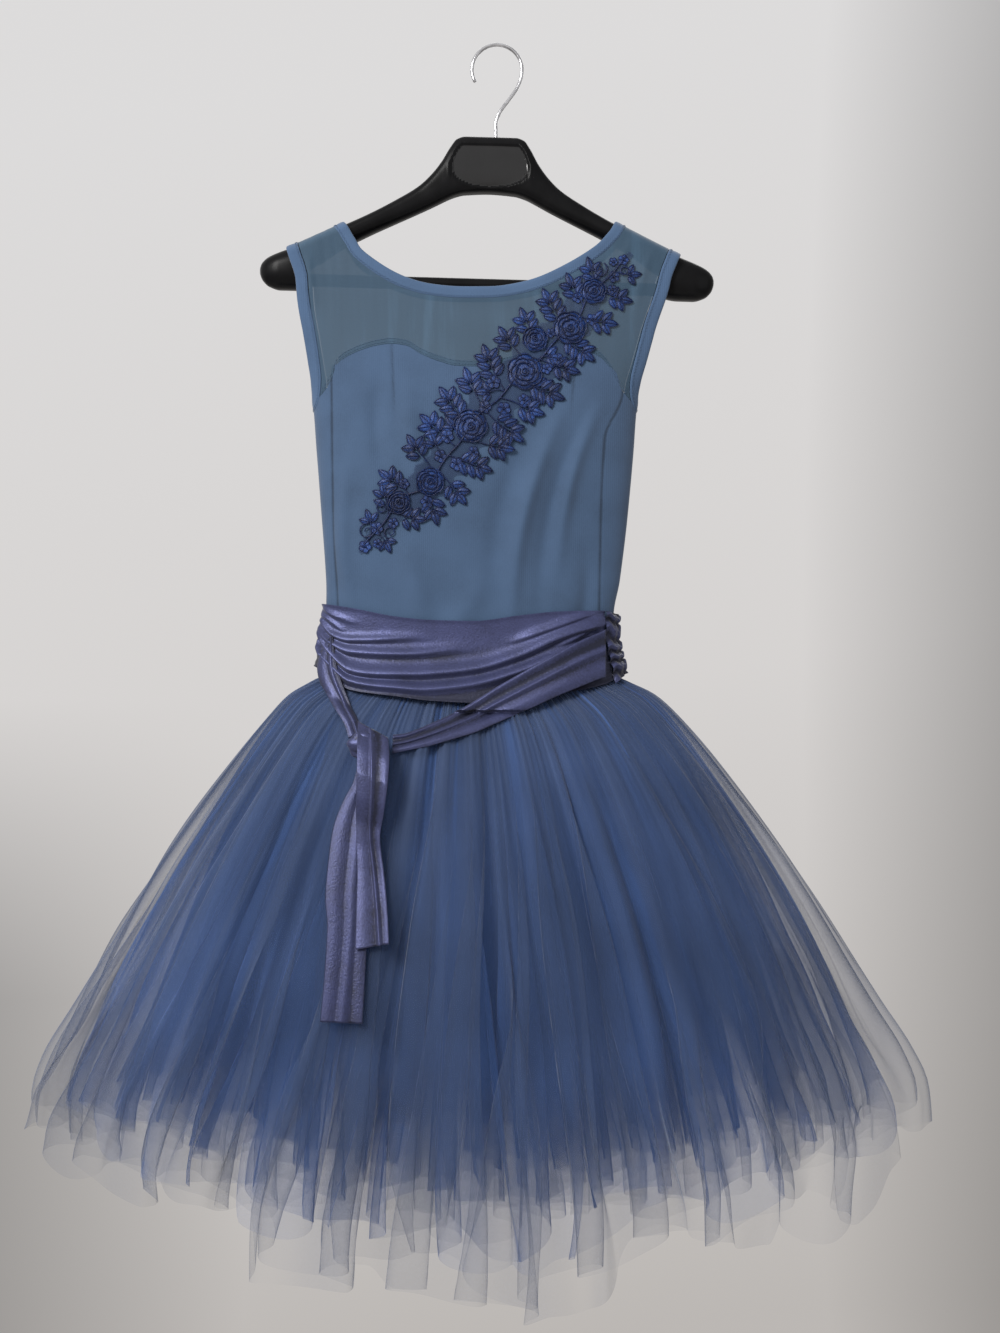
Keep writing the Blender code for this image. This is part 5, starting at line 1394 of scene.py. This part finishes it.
# Outline of the hub's recess. Points: x from the hub, z.
RECESS = [
    (-27, -97), (27, -97), (33, -104), (38.5, -118), (38, -125), (31, -132), (18, -136.5), (0, -138),
    (-18, -136.5), (-31, -132), (-38, -125), (-38.5, -118), (-33, -104),
]
RECESS_DEPTH = 1.6


def inside_distance(x, z, outline):
    """Distance from points to the edge of a convex outline: above 0 inside it."""
    outline = np.array(outline, dtype=float)
    centre = outline.mean(axis=0)
    nearest = np.full(x.shape, 1e9)
    for a, b in zip(outline, np.roll(outline, -1, axis=0)):
        run = b - a
        normal = np.array([-run[1], run[0]]) / np.linalg.norm(run)
        if normal @ (centre - a) < 0:
            normal = -normal
        nearest = np.minimum(nearest, (x - a[0]) * normal[0] + (z - a[1]) * normal[1])
    return nearest


def make_hanger():
    section = smooth_table([(-row[0], *row[1:]) for row in HANGER_ARM[:0:-1]] + HANGER_ARM)
    right = [np.linspace(52, 169, 60), np.linspace(169.8, 170.6, 4), np.linspace(170.8, 217.5, 40)]
    right = np.concatenate(right)
    local = np.concatenate([-right[::-1], np.linspace(-51, 51, 128), right])
    shape = section(local)
    top, bottom, half_depth, square = (shape[:, k][:, None] for k in range(4))
    count = 72
    angle = (2 * math.pi * (np.arange(count) + 0.5) / count)[None, :]
    cosine, sine = np.cos(angle), np.sin(angle)
    y = half_depth * np.sign(cosine) * np.abs(cosine) ** (2 / square)
    z = (top + bottom) / 2 + (top - bottom) / 2 * np.sign(sine) * np.abs(sine) ** (2 / square)
    x = np.broadcast_to(local[:, None], z.shape)
    inside = inside_distance(x, z, RECESS)
    sunk = RECESS_DEPTH * smoothstep(-0.2, 0.9, inside) * (cosine < 0)
    rim = 0.35 * np.exp(-((inside + 1.2) / 1.0) ** 2) * (cosine < 0)
    y = y + sunk - rim * (np.abs(y) > 6)
    grid = tilted(HUB_X + x, y, z)
    columns = len(local)
    faces = []
    for i in range(columns - 1):
        a, b = i * count, (i + 1) * count
        faces += [(a + k, b + k, b + (k + 1) % count, a + (k + 1) % count) for k in range(count)]
    faces.append(tuple(range(count)))
    faces.append(tuple((columns - 1) * count + k for k in reversed(range(count))))
    body = make_mesh("hanger_body", grid.reshape(-1, 3), faces, PLASTIC, "plastic")
    body.data.materials.append(GLOSS)
    glossy = ((inside > 0.6) & (cosine < 0)).ravel()
    for face in body.data.polygons:
        if all(glossy[v] for v in face.vertices):
            face.material_index = 1
    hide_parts("hanger_body")


def make_bar_and_hook():
    bar_line = tilted(HUB_X + np.linspace(-169.4, 169.4, 40), np.zeros(40), np.full(40, -229.0))
    bar = make_mesh("hanger_bar", *tube(bar_line, 6.0, sides=28), PLASTIC, "plastic")
    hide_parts("hanger_bar")

    loop_z = HOOK_WIRE_RADIUS - HOOK_LOOP_RADIUS
    foot = HUB_TOP + SEAM_GAP
    route = [(-1, foot), (-1, foot + 8), (-1, -72.5), (3, -62.5), (11, -51.5), (18.5, -41), (22.8, -31)]
    for turn in np.radians(range(0, 211, 15)):
        route.append((HOOK_LOOP_RADIUS * math.cos(turn), loop_z + HOOK_LOOP_RADIUS * math.sin(turn)))
    line = smooth_path(route, 150)
    points = np.column_stack([line[:, 0], np.zeros(150), line[:, 1]])
    radius = np.full(150, HOOK_WIRE_RADIUS)
    radius[-1] = 1.1
    hook = make_mesh("hanger_hook", *tube(points, radius, sides=16), WIRE, "wire")
    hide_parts("hanger_hook")


# Build.

make_bodice()
make_yoke("yoke_front", False)
make_yoke("yoke_back", True)
make_bindings()
make_seam_allowance()
make_skirt()
make_sash_front()
make_sash_gather()
make_sash_back()
for row in BANDS:
    band(*row)
make_knot()
make_applique()
make_hanger()
make_bar_and_hook()


# Stage, light and camera.

def make_stage():
    bpy.ops.mesh.primitive_circle_add(vertices=96, radius=2.2, fill_type="NGON", location=(0, 0, -2.4))
    floor = bpy.context.object
    floor.name = "floor"
    material, tree, shader = new_material("pale_floor", (0.62, 0.61, 0.6), 0.8)
    vary_colour(tree, shader, noise(tree, 3, 3.0), [(0.3, (0.6, 0.59, 0.58)), (0.7, (0.65, 0.64, 0.63))])
    floor.data.materials.append(material)

    world = bpy.data.worlds.new("studio")
    bpy.context.scene.world = world
    world.use_nodes = True
    tree = world.node_tree
    background = tree.nodes["Background"]
    place = node(tree, "ShaderNodeTexCoord")
    parts = node(tree, "ShaderNodeSeparateXYZ")
    tree.links.new(place.outputs["Generated"], parts.inputs["Vector"])
    lean = math_node(tree, "ADD", parts.outputs["Z"], math_node(tree, "MULTIPLY", parts.outputs["X"], -0.15))
    span = node(tree, "ShaderNodeMapRange", {"From Min": -0.4, "From Max": 0.36})
    tree.links.new(lean, span.inputs["Value"])
    stops = [(0.0, (0.50, 0.475, 0.455)), (0.5, (0.67, 0.65, 0.64)), (1.0, (0.72, 0.71, 0.71))]
    vary_colour(tree, background, span.outputs["Result"], stops, "Color")
    right = node(tree, "ShaderNodeMapRange", {"From Min": 0.19, "From Max": 0.31, "To Max": 0.42})
    left = node(tree, "ShaderNodeMapRange", {"From Min": -0.15, "From Max": -0.31, "To Max": 0.42})
    low = node(tree, "ShaderNodeMapRange", {"From Min": -0.02, "From Max": -0.2})
    for made, source in ((right, "X"), (left, "X"), (low, "Z")):
        tree.links.new(parts.outputs[source], made.inputs["Value"])
    shaded = math_node(tree, "MULTIPLY", left.outputs["Result"], low.outputs["Result"])
    shaded = math_node(tree, "ADD", shaded, right.outputs["Result"])
    tree.links.new(math_node(tree, "SUBTRACT", 1.0, shaded), background.inputs["Strength"])


def add_light(name, place, aim, size, power, colour):
    light = bpy.data.lights.new(name, "AREA")
    light.shape = "RECTANGLE"
    light.size, light.size_y = size
    light.energy = power
    light.color = colour
    lamp = bpy.data.objects.new(name, light)
    bpy.context.scene.collection.objects.link(lamp)
    direction = Vector(aim) - Vector(place)
    lamp.rotation_mode = "QUATERNION"
    lamp.rotation_quaternion = direction.to_track_quat("-Z", "Y")
    lamp.location = place


make_stage()
add_light("key", (-1.3, -1.9, 0.8), (0, 0, -0.55), (0.9, 0.9), 58, (1.0, 0.99, 0.97))
add_light("fill", (1.8, -1.6, -0.2), (0, 0, -0.6), (1.6, 2.0), 5, (0.96, 0.98, 1.0))
add_light("rear", (0.4, 1.9, 0.7), (0, 0, -0.6), (1.6, 1.6), 12, (1.0, 1.0, 1.0))

camera_data = bpy.data.cameras.new("camera")
camera = bpy.data.objects.new("camera", camera_data)
bpy.context.scene.collection.objects.link(camera)
camera.location = (0.0029, -1.5, -0.595)
camera.rotation_euler = (math.radians(90), 0, 0)
camera_data.sensor_width = 36
camera_data.lens = 42.2
bpy.context.scene.camera = camera

bpy.context.scene.view_settings.view_transform = "Standard"
bpy.context.scene.cycles.transparent_max_bounces = 256
